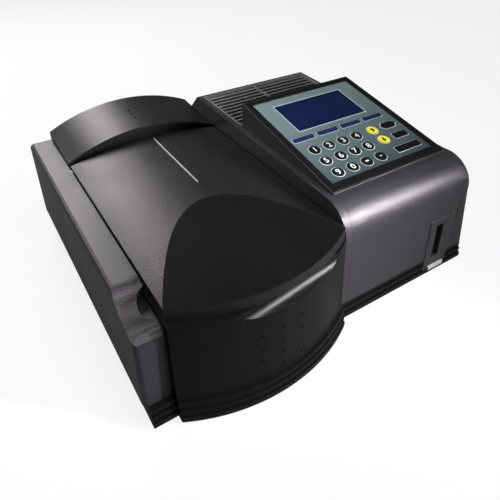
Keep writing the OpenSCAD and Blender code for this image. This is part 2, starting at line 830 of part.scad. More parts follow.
module display_module() {
    color("#3a5a3f") on_face() {
        face_plate(lcd_u - 6 * ku, lcd_u1 + 6 * ku, lcd_v - 6 * kv, lcd_v1 + 3.5 * kv,
            -bezel_drop - board_gap + 0.2, -bezel_drop - 0.05);
    }
}

module keypad_board() {
    board_z = -bezel_drop - board_gap;
    color("#245c38") on_face() difference() {
        union() {
            face_plate(pane + 5, console_w - pane - 5, pane + 5, console_len - pane - 9,
                board_z - 1.6, board_z);
            for (k = KEYS) at_key(k) translate([0, 0, board_z])
                cylinder(h = board_gap - flange_t - key_travel - 3.2, r = 2.6);
        }
        for (u = [pane + 9, console_w - pane - 9], v = [pane + 9, console_len - pane - 13])
            translate([u, -v, board_z - 3]) cylinder(h = 5, r = 1.6);
    }
}

module key_body(k) {
    on_face() at_key(k) {
        translate([0, 0, -bezel_drop - 0.1]) linear_extrude(overlay_t + key_proud + 0.1)
            key_outline(k, 0);
        translate([0, 0, -bezel_drop - 0.1 - flange_t]) linear_extrude(flange_t)
            key_outline(k, key_flange);
        translate([0, 0, -bezel_drop - flange_t - 3.1]) cylinder(h = 3.05, r = 2);
    }
}

// Sample chamber and cell changer

module sample_chamber() {
    color("#121214") difference() {
        union() {
            translate([x_bay, chamber_y, chamber_floor - tub_wall])
                linear_extrude(chamber_depth + tub_wall)
                    round_rect(chamber_w + 2 * tub_wall, chamber_l + 2 * tub_wall, 5.5);
            translate([x_bay, chamber_y, deck_top]) linear_extrude(2)
                round_rect(chamber_w + 2 * (tub_wall + tub_flange),
                    chamber_l + 2 * (tub_wall + tub_flange), 10);
        }
        translate([x_bay, chamber_y, chamber_floor]) linear_extrude(chamber_depth + 5)
            round_rect(chamber_w, chamber_l, 3);
        rod_x(x_w, x_d, chamber_y, beam_z, port_r);
        for (s = [-1, 1]) rod_y(chamber_y - chamber_l / 2 - 1, chamber_y + chamber_l / 2 + 1,
            x_bay + s * rail_dx, rail_z, rail_r + 0.02);
        rod_y(chamber_y - chamber_l / 2 - 1, motor_y + 1, x_bay, rail_z, screw_r + 0.1);
    }
}

module carriage_rails() {
    color("#c4c8cc") for (s = [-1, 1])
        rod_y(chamber_y - chamber_l / 2 - 1, chamber_y + chamber_l / 2 + 1,
            x_bay + s * rail_dx, rail_z, rail_r);
}

module cell_carriage() {
    color("#26262a") difference() {
        union() {
            box([x_bay - carriage_w / 2, carriage_y - carriage_l / 2, rail_z - 6],
                [x_bay + carriage_w / 2, carriage_y + carriage_l / 2, rail_z + 6]);
            box([x_bay - 12, carriage_y - carriage_l / 2, rail_z + 5],
                [x_bay + 12, carriage_y + carriage_l / 2, beam_z + 18]);
        }
        for (i = [0:3]) translate([x_bay, carriage_y + (i - 1.5) * cell_pitch, 0]) {
            translate([-cell_side / 2, -cell_side / 2, cell_floor])
                cube([cell_side, cell_side, 60]);
            rod_x(-20, 20, 0, beam_z, 4);
        }
        for (s = [-1, 1]) rod_y(carriage_y - carriage_l, carriage_y + carriage_l,
            x_bay + s * rail_dx, rail_z, rail_r + rail_clear);
        rod_y(carriage_y - carriage_l, carriage_y + carriage_l, x_bay, rail_z, screw_r + 0.1);
    }
}

module cuvettes() {
    color("#cfe3ea") for (i = [0:3])
        translate([x_bay, carriage_y + (i - 1.5) * cell_pitch, cell_floor]) difference() {
            translate([-cell_body / 2, -cell_body / 2, 0]) cube([cell_body, cell_body, 45]);
            translate([-cell_body / 2 + 1.25, -cell_body / 2 + 1.25, 1.5])
                cube([cell_body - 2.5, cell_body - 2.5, 45]);
        }
}

module carriage_screw() {
    color("#b4b8bc") rod_y(chamber_y - chamber_l / 2 - 0.8, motor_y + 18, x_bay, rail_z, screw_r);
}

// Optics and electronics inside the right housing

right_unit = (x_r - x_d) / 223;
optics_z = 50;
optics_t = 6;
optics_top = optics_z + optics_t;
optics_y0 = chamber_y - 40;
optics_y1 = chamber_y + 120;
leg_r = 6;
motor_side = 36;
tray_floor = foot_h + floor_t;
grating_x = x_d + 128 * right_unit;
grating_y = chamber_y - 10;
lamp_y = chamber_y + 70;
lamp_x = x_r - 46 * right_unit;
lamp_house_w = 48 * right_unit;
lamp_house_l = 60;
lamp_house_h = 70;
lamp_wall = 4;
filter_x = lamp_x - lamp_house_w / 2 - 17 * right_unit;
filter_z = beam_z + 15;
slit_h = 56;
exit_slit_x = filter_x - 15 * right_unit;
mirror_r = 20 * right_unit;

module optics_plate() {
    color("#8c8f92") difference() {
        union() {
            box([x_d + 10, optics_y0, optics_z], [x_r - 20, optics_y1, optics_top]);
            for (x = [x_d + 10 + leg_r, x_r - 26 - leg_r], y = [optics_y0 + 2 + leg_r, optics_y1 - 8 - leg_r])
                translate([x, y, tray_floor]) cylinder(h = optics_z - tray_floor, r = leg_r);
            box([filter_x - 6, lamp_y - 14, optics_top - 1], [filter_x - 2, lamp_y + 14, filter_z + 7]);
            rod_x(filter_x - 3, filter_x + 8, lamp_y, filter_z, 2);
        }
        rod_x(filter_x - 7, filter_x - 1, lamp_y, beam_z, 6);
        translate([grating_x, grating_y, optics_z - 2]) cylinder(h = optics_t + 4, r = 8.1);
    }
}

module detector_unit() {
    color("#7d8083") difference() {
        box([x_l + wall + 1, chamber_y - 24, beam_z - 22], [x_w - wall - 0.1, chamber_y + 24, beam_z + 22]);
        rod_x(x_w - wall - 12, x_w, chamber_y, beam_z, port_r - 1);
    }
}

module lamp_house() {
    x0 = lamp_x - lamp_house_w / 2;
    x1 = lamp_x + lamp_house_w / 2;
    y0 = lamp_y - lamp_house_l / 2;
    y1 = lamp_y + lamp_house_l / 2;
    color("#9a9da0") difference() {
        box([x0, y0, optics_top], [x1, y1, optics_top + lamp_house_h]);
        box([x0 + lamp_wall, y0 + lamp_wall, optics_top + lamp_wall],
            [x1 - lamp_wall, y1 - lamp_wall, optics_top + lamp_house_h + 4]);
        rod_x(x0 - 10, x0 + 10, lamp_y, beam_z, 8);
    }
}

module halogen_lamp() {
    base = optics_top + lamp_wall;
    color("#e6e8ea") {
        translate([lamp_x, lamp_y, base]) cylinder(h = 16, r = 9);
        translate([lamp_x, lamp_y, base + 16]) cylinder(h = 16, r = 5.5);
        translate([lamp_x, lamp_y, base + 32]) sphere(5.5);
    }
}

module filter_wheel() {
    color("#3f4144") translate([filter_x, lamp_y, filter_z]) rotate([0, 90, 0])
        difference() {
            union() {
                translate([0, 0, 1]) cylinder(h = 3, r = 23);
                translate([0, 0, -1.5]) cylinder(h = 7, r = 6);
            }
            for (i = [0:5]) rotate([0, 0, i * 60]) translate([15, 0, -1]) cylinder(h = 7, r = 5.5);
            translate([0, 0, -4]) cylinder(h = 12, r = 2.06);
        }
}

module slit_plates() {
    color("#202022") {
        difference() {
            box([x_d + 14, chamber_y - 20, optics_top], [x_d + 17, chamber_y + 20, optics_top + slit_h]);
            rod_x(x_d + 13, x_d + 18, chamber_y, beam_z, 3);
        }
        difference() {
            box([exit_slit_x - 3, lamp_y - 20, optics_top], [exit_slit_x, lamp_y + 20, optics_top + slit_h]);
            rod_x(exit_slit_x - 4, exit_slit_x + 1, lamp_y, beam_z, 3);
        }
    }
}

module mirror_set() {
    color("#cdd6dc") for (p = [[60, 20, 12], [90, 96, -30]])
        translate([x_d + p[0] * right_unit, chamber_y + p[1], optics_top]) rotate([0, 0, p[2]]) {
            translate([-5, -16 * right_unit, 0]) cube([10, 32 * right_unit, 12]);
            translate([-4, 0, 10 + mirror_r]) rotate([0, 90, 0]) cylinder(h = 8, r = mirror_r);
        }
}

module grating_table() {
    color("#b7b39a") translate([grating_x, grating_y, 0]) {
        translate([0, 0, optics_z - 6]) cylinder(h = 16, r = 8);
        translate([0, 0, optics_z - 16]) cylinder(h = 11, r = 3);
        translate([0, 0, optics_top + 0.3]) cylinder(h = 6, r = 17);
        translate([-3, -15, optics_top + 6]) cube([6, 30, 30]);
    }
}

module drive_motors() {
    color("#6a6d70") {
        difference() {
            box([x_bay - 14, motor_y, rail_z - 14], [x_bay + 14, motor_y + 30, rail_z + 14]);
            rod_y(motor_y - 1, motor_y + 20, x_bay, rail_z, screw_r + 0.1);
        }
        difference() {
            translate([grating_x - motor_side / 2, grating_y - motor_side / 2, tray_floor])
                cube(motor_side);
            translate([grating_x, grating_y, tray_floor + 20]) cylinder(h = 20, r = 3.08);
        }
    }
}

board_up = 8;
board_t = 1.6;
board_y1 = grating_y - motor_side / 2 - 13;

module main_board() {
    color("#245c38") {
        box([x_d + 14, y_rf + 24, tray_floor + board_up], [x_r - 20, board_y1, tray_floor + board_up + board_t]);
        for (x = [x_d + 22, x_r - 28], y = [y_rf + 32, board_y1 - 8])
            translate([x, y, tray_floor]) cylinder(h = board_up + 0.2, r = 3);
    }
}

module power_supply() {
    color("#a9acae") box([x_d + 20 * right_unit, y_b - 90, tray_floor],
        [x_d + 110 * right_unit, y_b - 30, tray_floor + 40]);
}

fan_x = x_d + 150 * right_unit;
fan_z = 76;

module fan_frame() {
    color("#222224") difference() {
        box([fan_x - 20, y_b - wall - 12, fan_z - 20], [fan_x + 20, y_b - wall - 0.1, fan_z + 20]);
        rod_y(y_b - wall - 13, y_b - wall - 3, fan_x, fan_z, 18.5);
        for (i = [0:3]) translate([fan_x, 0, fan_z]) rotate([0, i * 90 + 45, 0])
            translate([11, y_b - wall - 6, 0]) rotate([-90, 0, 0]) cylinder(h = 10, r = 5);
        rod_y(y_b - wall - 6, y_b, fan_x, fan_z, 2.06);
    }
}

module fan_rotor() {
    color("#303034") translate([fan_x, y_b - wall - 11, fan_z]) rotate([-90, 0, 0]) {
        cylinder(h = 7, r = 9);
        cylinder(h = 9.5, r = 2);
        for (i = [0:6]) rotate([0, 0, i * 360 / 7]) rotate([35, 0, 0])
            translate([6, -0.6, 0]) cube([11.4, 1.2, 6]);
    }
}

inlet_x = x_d + 60 * right_unit;
inlet_z = 60;
inlet_w = 62;
inlet_h = 26;
rocker_x = inlet_x + 17;
rocker_y = y_b - 9.5;
rocker_z = inlet_z;
rocker_swing = 16;

module inlet_holes() {
    box([inlet_x - inlet_w / 2 - 0.15, y_b - 8, inlet_z - inlet_h / 2 - 0.15],
        [inlet_x + inlet_w / 2 + 0.15, y_b + 1, inlet_z + inlet_h / 2 + 0.15]);
    for (i = [-2:2])
        box([fan_x - 16, y_b - 8, fan_z + i * 7 - 2], [fan_x + 16, y_b + 1, fan_z + i * 7 + 2]);
}

module mains_inlet() {
    color("#161618") {
        difference() {
            box([inlet_x - inlet_w / 2, y_b - 28, inlet_z - inlet_h / 2],
                [inlet_x + inlet_w / 2, y_b, inlet_z + inlet_h / 2]);
            box([inlet_x - 26, y_b - 18, inlet_z - 8.5], [inlet_x - 1, y_b + 4, inlet_z + 8.5]);
            box([rocker_x - 6.3, y_b - 20, inlet_z - 10.5], [rocker_x + 6.3, y_b + 4, inlet_z + 10.5]);
            rod_x(rocker_x - 8.5, rocker_x + 8.5, rocker_y, rocker_z, 1.54);
        }
        for (p = [[-20, -3], [-7, -3], [-13.5, 3.2]])
            box([inlet_x + p[0] - 1, y_b - 19, inlet_z + p[1] - 2.5],
                [inlet_x + p[0] + 1, y_b - 6, inlet_z + p[1] + 2.5]);
    }
}

module power_rocker() {
    color("#1a1a1c") {
        rod_x(rocker_x - 8.3, rocker_x + 8.3, rocker_y, rocker_z, 1.5);
        along_x(rocker_x - 6, rocker_x + 6) translate([rocker_y, rocker_z])
            rotate(-rocker_swing / 2) intersection() {
                circle(9.4);
                polygon([[-5, -5], [-5, 5], [9, 9.2], [5, 0], [9, -9.2]]);
            }
    }
}

base_tray();
rubber_feet();
left_housing();
bay_shell();
rear_hood();
lid();
lid_strip();
hinge_pins();
right_housing();
front_panel();
louvre_grille();
console_housing();
console_bezel();
keypad_overlay();
display_window();
display_module();
keypad_board();
card_slot_plate();
eject_key();
sample_chamber();
carriage_rails();
cell_carriage();
drive_motors();
carriage_screw();
cuvettes();
detector_unit();
optics_plate();
lamp_house();
halogen_lamp();
filter_wheel();
slit_plates();
mirror_set();
grating_table();
main_board();
power_supply();
fan_frame();
fan_rotor();
mains_inlet();
power_rocker();
for (k = KEYS) {
    color(k[0] == "key_up" || k[0] == "key_down" ? "#e8e04a"
        : k[5] == 7 ? "#2c3f78" : "#1b1b1e") key_body(k);
}
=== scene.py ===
"""Looks of a bench spectrophotometer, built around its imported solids."""

import json
import math

import bmesh
import bpy
from mathutils import Matrix, Vector
from mathutils.bvhtree import BVHTree


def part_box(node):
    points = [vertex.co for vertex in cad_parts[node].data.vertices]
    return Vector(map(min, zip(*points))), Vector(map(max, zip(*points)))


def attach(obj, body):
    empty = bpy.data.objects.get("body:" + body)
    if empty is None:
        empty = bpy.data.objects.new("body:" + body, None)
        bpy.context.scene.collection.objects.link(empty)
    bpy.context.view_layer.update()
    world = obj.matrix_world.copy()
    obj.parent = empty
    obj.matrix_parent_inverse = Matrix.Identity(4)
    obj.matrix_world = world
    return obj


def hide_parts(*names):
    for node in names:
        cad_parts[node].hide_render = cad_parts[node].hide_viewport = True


bl_info = {
    "name": "Spectrophotometer looks",
    "version": (1, 0, 0),
    "blender": (4, 5, 0),
    "location": "3D View > Sidebar > Spectrophotometer",
    "description": "Finishes, legends, fastenings and stage of a bench spectrophotometer",
    "category": "Object",
}

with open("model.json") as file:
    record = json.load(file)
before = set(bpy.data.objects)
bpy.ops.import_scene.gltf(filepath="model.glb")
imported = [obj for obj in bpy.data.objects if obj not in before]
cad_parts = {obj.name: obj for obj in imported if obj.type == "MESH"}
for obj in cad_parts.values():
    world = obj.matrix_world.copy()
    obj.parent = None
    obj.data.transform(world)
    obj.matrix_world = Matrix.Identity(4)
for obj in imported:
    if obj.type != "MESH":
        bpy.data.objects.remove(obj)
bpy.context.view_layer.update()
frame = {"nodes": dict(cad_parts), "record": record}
NODES = frame["nodes"]
MM = 0.001

# Scales of noise, per metre: patches of tone on a moulding are 70 mm wide, the keypad film's texture
# 0.7 mm, haze on glass 17 mm, the floor's fibres 3 mm, and the lines of a brushed metal 50 mm long
PATCHES = 14.0
FILM_TEXTURE = 1400.0
HAZE = 60.0
FIBRES = 300.0
LINE_LENGTHS = 20.0

# The console's face, in millimetres: its length, and how far its near edge stands above the console's foot
FACE_LENGTH = 199
FACE_FOOT = 2.2

# Places on the console's face, in millimetres: from its left edge, and down from its far edge
DIGITS = [
    ("key_one", "1", 0, 0), ("key_two", "2", 1, 0), ("key_three", "3", 2, 0), ("key_four", "4", 3, 0),
    ("key_five", "5", 0, 1), ("key_six", "6", 1, 1), ("key_seven", "7", 2, 1), ("key_eight", "8", 3, 1),
    ("key_nine", "9", 0, 2), ("key_zero", "0", 1, 2), ("key_minus", "-", 2, 2), ("key_point", ".", 3, 2),
]
FIRST_KEY = (29.8, 125.0)
KEY_PITCH = 23.0
ARROWS = [("key_up", 127.0, 125.0, 1), ("key_down", 127.0, 146.8, -1)]
BARS = [
    ("key_function_1", 31.0, 100.5, 32.0, 7.0), ("key_function_2", 70.0, 100.5, 32.0, 7.0),
    ("key_function_3", 109.0, 100.5, 32.0, 7.0), ("key_function_4", 148.0, 100.5, 32.0, 7.0),
    ("key_return", 156.0, 147.0, 22.0, 10.0), ("key_enter", 147.0, 170.5, 40.0, 10.0),
]
HEX_KEY = (156.0, 124.0, 25.0, 12.0)
HEX_POINT = 5
DISPLAY = (35.5, 25.5, 114.0, 60.0)
ARROW_SHAPE = [(0, 4.4), (3.9, 0.2), (1.4, 0.2), (1.4, -3.8), (-1.4, -3.8), (-1.4, 0.2), (-3.9, 0.2)]

# Heights above the console's face, and thicknesses of ink, in millimetres
KEY_TOP = 0.3
OVERLAY_TOP = -0.7
INK_GAP = 0.01
RING_LIFT = 0.04
RING_INK = 0.06
OUTLINE_INK = 0.05
ARROW_INK = 0.05
SIGN_INK = 0.03

# Printed lines, in millimetres. Rings: their inner radius. Lines round the display and the bar keys: how much
# larger than what they frame the outer and the inner edge are, each with its corner radius. Line round the
# six-sided key: how far outside it the two edges lie.
RING_RADIUS = 7.75
DISPLAY_LINE = ((2.4, 1.2), (0.6, 0.3))
BAR_LINE = ((2.4, 2.4), (0.9, 1.65))
HEX_LINE = (1.3, 0.45)

# Signs: font size over height, how far a stroke is thickened in mm, how much a minus or point is enlarged
FONT_OVER_HEIGHT = 1.35
STROKE = 0.22
SMALL_SIGN = 1.5

# Head of a cover screw: height, width of the recess and how far it sinks in, in millimetres, then the crown's
# radius as a share of the foot's, and the recess's middle as a share of the height
SCREW_HEIGHT = 1.3
SCREW_RECESS = 0.9
SCREW_SINK = 0.1
SCREW_CROWN = 0.72
RECESS_RISE = 0.85

# Places of the cover screws, in millimetres: how far in from the sides they sit, and how high
TRAY_INSET = 60
RIGHT_INSETS = (16, 24)
RIGHT_HEIGHTS = (42, 92)
HOOD_INSET = 20
HOOD_HEIGHT = 50

# A distance in metres that is clear of the instrument, from where the surface under a screw is looked for
CLEAR = 1.0

# Covers: points nearer than this in mm are one; faces that differ by less than this in degrees are one; edges
# sharper than this in degrees are rounded
SAME_POINT = 0.002
SAME_FACE = 0.4
SHARP_EDGE = 32

# The faces found by these limits get near-black paint as painted shade
# The lid's forward slope: how much of its normal points up at least, and how much of it points to the back
SLOPE_UP = 0.9
SLOPE_BACK = (-0.2, -0.03)

# A colour mix node's sockets by number, since it has several of each name: its two colours and its result
MIX_A, MIX_B, MIX_RESULT = 6, 7, 2

# Lamps: name, place and aim in metres, width and height in metres, watts, and the beam's angle in degrees.
# The tall one behind draws the light over the lid, hood and vent; the rim lamp edges the left; the narrow one
# picks out the right front shoulder; the last three are soft fill.
LAMPS = [
    ("behind", (-0.13, 1.32, 1.1), (-0.15, 0.03, 0.13), (0.3, 0.8), 12.5, 180),
    ("rim", (-0.95, 1.1, 0.78), (-0.2, 0.05, 0.13), (0.3, 0.3), 5, 180),
    ("corner", (0.6, -0.86, 0.55), (-0.03, -0.17, 0.16), (0.16, 0.4), 1.3, 28),
    ("left", (-1.4, 0.3, 0.9), (-0.2, 0, 0.1), (0.5, 0.5), 2.5, 180),
    ("front", (0.2, -1.2, 0.5), (-0.15, -0.17, 0.08), (0.9, 0.7), 6.5, 180),
    ("overhead", (0.03, -0.42, 1.4), (0, -0.05, 0.1), (0.6, 0.45), 7.5, 180),
]

# Camera: place in metres, and azimuth, height above the bench and roll in degrees
CAMERA_PLACE = (-0.3078, -0.4924, 0.4796)
CAMERA_TURN = (-31.948, 29.948, -0.65)
CAMERA_LENS = 36.557
CAMERA_SHIFT = -0.18


def linear(hex_colour):
    """A hex colour as seen on a screen, in the linear values that shaders take."""
    parts = [int(hex_colour[i:i + 2], 16) / 255 for i in (1, 3, 5)]
    return tuple(c / 12.92 if c <= 0.04045 else ((c + 0.055) / 1.055) ** 2.4 for c in parts) + (1.0,)


def colour_property(name, text, default):
    """A colour that the user may change."""
    return bpy.props.FloatVectorProperty(
        name=name, description=text, subtype="COLOR", size=4, min=0, max=1, default=linear(default))


def length_property(name, text, default_mm):
    """A length that the user may change."""
    return bpy.props.FloatProperty(
        name=name, description=text, default=default_mm * MM, min=0.01 * MM, max=0.5, precision=5,
        subtype="DISTANCE", unit="LENGTH")


class SpectroFinishes(bpy.types.PropertyGroup):
    """Colours of the finishes"""
    housing: colour_property("Housing", "Metallic grey paint of the housings", "#2d2c30")
    lid: colour_property("Lid", "Darker metallic grey of the lid and the hood", "#161518")
    # The lid's sloping front, near-black as painted shade
    facet: colour_property("Facet", "Black of the lid's sloping front", "#0f0f10")
    bay: colour_property("Bay", "Near-black plastic of the sample bay", "#0e0e10")
    plinth: colour_property("Plinth", "Black plastic of the plinth", "#0b0b0c")
    grille: colour_property("Grille", "Grey of the vent grille", "#7c7c7f")
    film: colour_property("Film", "Grey-teal of the keypad film at its far edge", "#6e8082")
    # Darker than the far edge: painted shade
    film_shaded_near: colour_property("Film near", "Grey-teal of the keypad film at its near edge", "#313d42")
    display: colour_property("Display", "Blue of the display window", "#0a163a")
    key: colour_property("Key", "Black of the keys", "#08080a")
    arrow_key: colour_property("Arrow key", "Yellow of the arrow keys", "#e2d83e")
    menu_key: colour_property("Menu key", "Blue of the menu keys", "#12204c")
    print_white: colour_property("Print", "White of the printed rings and digits", "#c9d2d3")


class SpectroSizes(bpy.types.PropertyGroup):
    """Sizes of the small pieces"""
    edge: length_property("Edge", "Radius of the moulded covers' edges", 1.1)
    ring: length_property("Ring", "Width of the printed key rings", 0.95)
    digit: length_property("Digit", "Height of the digits on the keys", 9.0)
    # In millimetres, unlike the rest: in metres it rounds to another last digit, and the cut of the
    # recess then leaves more open edges
    screw: bpy.props.FloatProperty(
        name="Screw", description="Radius of a screw head in mm", default=3.2, min=0.01, max=500)


def add_node(tree, kind, settings=None, links=None):
    """Adds a node, sets its settings, and gives each named input a value or a link."""
    made = tree.nodes.new(kind)
    for name, value in (settings or {}).items():
        setattr(made, name, value)
    for socket, source in (links or {}).items():
        if isinstance(source, bpy.types.NodeSocket):
            tree.links.new(source, made.inputs[socket])
        else:
            made.inputs[socket].default_value = source
    return made


def new_material(name):
    """An empty material with its shader tree."""
    material = bpy.data.materials.new(name)
    material.use_nodes = True
    material.node_tree.nodes.clear()
    return material, material.node_tree


def finish(tree, shader):
    """Ends a material's tree in its output."""
    add_node(tree, "ShaderNodeOutputMaterial", links={"Surface": shader.outputs[0]})


def moulded(name, colour, gloss, grain, flake=0.0, tint="#ffffff"):
    """A moulded or painted surface: a fine grain, and a slight change of tone and gloss from place to place.

    gloss is roughness, metallic and specular level; grain is its width in mm, its change of tone, the change
    of tone between broad patches, and its height in mm; flake is how far the grain changes the gloss.
    The grain of a real moulding is 0.1 to 0.3 mm wide; it is drawn coarser, so that it shows.
    """
    roughness, metallic, specular = gloss
    grain_mm, grain_tone, patch_tone, bump_mm = grain
    material, tree = new_material(name)
    place = add_node(tree, "ShaderNodeTexCoord").outputs["Object"]
    fine = add_node(tree, "ShaderNodeTexNoise", links={
        "Vector": place, "Scale": 1 / (grain_mm * MM), "Detail": 2.0, "Roughness": 0.6})
    broad = add_node(tree, "ShaderNodeTexNoise", links={
        "Vector": place, "Scale": PATCHES, "Detail": 3.0, "Roughness": 0.55})
    tone = add_node(tree, "ShaderNodeMapRange", links={
        "Value": fine.outputs["Fac"], "From Min": 0.3, "From Max": 0.7,
        "To Min": 1 - grain_tone, "To Max": 1 + grain_tone})
    cloud = add_node(tree, "ShaderNodeMapRange", links={
        "Value": broad.outputs["Fac"], "From Min": 0.3, "From Max": 0.7,
        "To Min": 1 - patch_tone, "To Max": 1 + patch_tone})
    both = add_node(tree, "ShaderNodeMath", {"operation": "MULTIPLY"}, {
        0: tone.outputs[0], 1: cloud.outputs[0]})
    tinted = add_node(tree, "ShaderNodeVectorMath", {"operation": "SCALE"}, {
        0: colour[:3], "Scale": both.outputs[0]})
    sheen = add_node(tree, "ShaderNodeMapRange", links={
        "Value": broad.outputs["Fac"], "From Min": 0.3, "From Max": 0.7,
        "To Min": roughness - 0.03 - flake / 2, "To Max": roughness + 0.03 - flake / 2})
    glint = add_node(tree, "ShaderNodeMath", {"operation": "MULTIPLY_ADD"}, {
        0: fine.outputs["Fac"], 1: flake, 2: sheen.outputs[0]})
    bump = add_node(tree, "ShaderNodeBump", links={
        "Height": fine.outputs["Fac"], "Distance": bump_mm * MM, "Strength": 1.0})
    shader = add_node(tree, "ShaderNodeBsdfPrincipled", links={
        "Base Color": tinted.outputs[0], "Roughness": glint.outputs[0], "Metallic": metallic,
        "Specular IOR Level": specular, "Specular Tint": linear(tint), "Normal": bump.outputs[0]})
    finish(tree, shader)
    return material


def brushed(name, colour, roughness, along, line_mm=0.25):
    """A turned, milled or brushed metal: fine lines that run along the axis given.

    Real lines are 0.05 mm wide; they are drawn at 0.25 mm or more, so that they show.
    """
    material, tree = new_material(name)
    place = add_node(tree, "ShaderNodeTexCoord").outputs["Object"]
    stretch = [1 / (line_mm * MM)] * 3
    stretch["xyz".index(along)] = LINE_LENGTHS
    laid = add_node(tree, "ShaderNodeMapping", links={"Vector": place, "Scale": stretch})
    lines = add_node(tree, "ShaderNodeTexNoise", links={
        "Vector": laid.outputs[0], "Scale": 1.0, "Detail": 3.0, "Roughness": 0.6})
    tone = add_node(tree, "ShaderNodeMapRange", links={
        "Value": lines.outputs["Fac"], "From Min": 0.25, "From Max": 0.75, "To Min": 0.82, "To Max": 1.08})
    tinted = add_node(tree, "ShaderNodeVectorMath", {"operation": "SCALE"}, {
        0: colour[:3], "Scale": tone.outputs[0]})
    gloss = add_node(tree, "ShaderNodeMapRange", links={
        "Value": lines.outputs["Fac"], "From Min": 0.25, "From Max": 0.75,
        "To Min": roughness - 0.06, "To Max": roughness + 0.08})
    bump = add_node(tree, "ShaderNodeBump", links={
        "Height": lines.outputs["Fac"], "Distance": 0.01 * MM, "Strength": 1.0})
    shader = add_node(tree, "ShaderNodeBsdfPrincipled", links={
        "Base Color": tinted.outputs[0], "Metallic": 1.0, "Roughness": gloss.outputs[0],
        "Normal": bump.outputs[0]})
    finish(tree, shader)
    return material


def keypad_film_with_painted_shade(name, far_colour, shaded_near_colour, far_y, near_y):
    """Polyester film under a fine texture: its colour darkens evenly towards the user, as painted shade.

    The real texture is 0.1 mm wide; it is drawn at 0.7 mm, so that it shows.
    """
    material, tree = new_material(name)
    place = add_node(tree, "ShaderNodeTexCoord").outputs["Object"]
    split = add_node(tree, "ShaderNodeSeparateXYZ", links={"Vector": place})
    down = add_node(tree, "ShaderNodeMapRange", links={
        "Value": split.outputs["Y"], "From Min": far_y, "From Max": near_y, "To Min": 0.0, "To Max": 1.0})
    # Far colour to near colour: painted shade, darker towards the user
    painted_shade_fade = add_node(tree, "ShaderNodeMix", {"data_type": "RGBA"}, {
        0: down.outputs[0], MIX_A: far_colour, MIX_B: shaded_near_colour})
    fine = add_node(tree, "ShaderNodeTexNoise", links={"Vector": place, "Scale": FILM_TEXTURE, "Detail": 2.0})
    tone = add_node(tree, "ShaderNodeMapRange", links={
        "Value": fine.outputs["Fac"], "From Min": 0.3, "From Max": 0.7, "To Min": 0.93, "To Max": 1.07})
    tinted = add_node(tree, "ShaderNodeVectorMath", {"operation": "SCALE"}, {
        0: painted_shade_fade.outputs[MIX_RESULT], "Scale": tone.outputs[0]})
    bump = add_node(tree, "ShaderNodeBump", links={
        "Height": fine.outputs["Fac"], "Distance": 0.012 * MM, "Strength": 1.0})
    shader = add_node(tree, "ShaderNodeBsdfPrincipled", links={
        "Base Color": tinted.outputs[0], "Roughness": 0.42, "Specular IOR Level": 0.45,
        "Normal": bump.outputs[0]})
    finish(tree, shader)
    return material


def clear_glass(name, tint, ior, roughness):
    """Clear polished glass or quartz."""
    material, tree = new_material(name)
    place = add_node(tree, "ShaderNodeTexCoord").outputs["Object"]
    haze = add_node(tree, "ShaderNodeTexNoise", links={"Vector": place, "Scale": HAZE, "Detail": 2.0})
    gloss = add_node(tree, "ShaderNodeMapRange", links={
        "Value": haze.outputs["Fac"], "To Min": roughness, "To Max": roughness + 0.05})
    shader = add_node(tree, "ShaderNodeBsdfPrincipled", links={
        "Base Color": tint, "Roughness": gloss.outputs[0], "IOR": ior, "Transmission Weight": 1.0})
    finish(tree, shader)
    return material


def circuit_board(name, resist, copper, track_mm):
    """Fibreglass board under green solder resist: lighter lines, six widths apart, over the copper."""
    material, tree = new_material(name)
    place = add_node(tree, "ShaderNodeTexCoord").outputs["Object"]
    cells = add_node(tree, "ShaderNodeTexVoronoi", {"feature": "DISTANCE_TO_EDGE"}, {
        "Vector": place, "Scale": 1 / (6 * track_mm * MM)})
    line = add_node(tree, "ShaderNodeMapRange", links={
        "Value": cells.outputs["Distance"], "From Min": 0.03, "From Max": 0.07, "To Min": 1.0, "To Max": 0.0})
    mixed = add_node(tree, "ShaderNodeMix", {"data_type": "RGBA"}, {
        0: line.outputs[0], MIX_A: resist, MIX_B: copper})
    shader = add_node(tree, "ShaderNodeBsdfPrincipled", links={
        "Base Color": mixed.outputs[MIX_RESULT], "Roughness": 0.35, "Specular IOR Level": 0.5})
    finish(tree, shader)
    return material


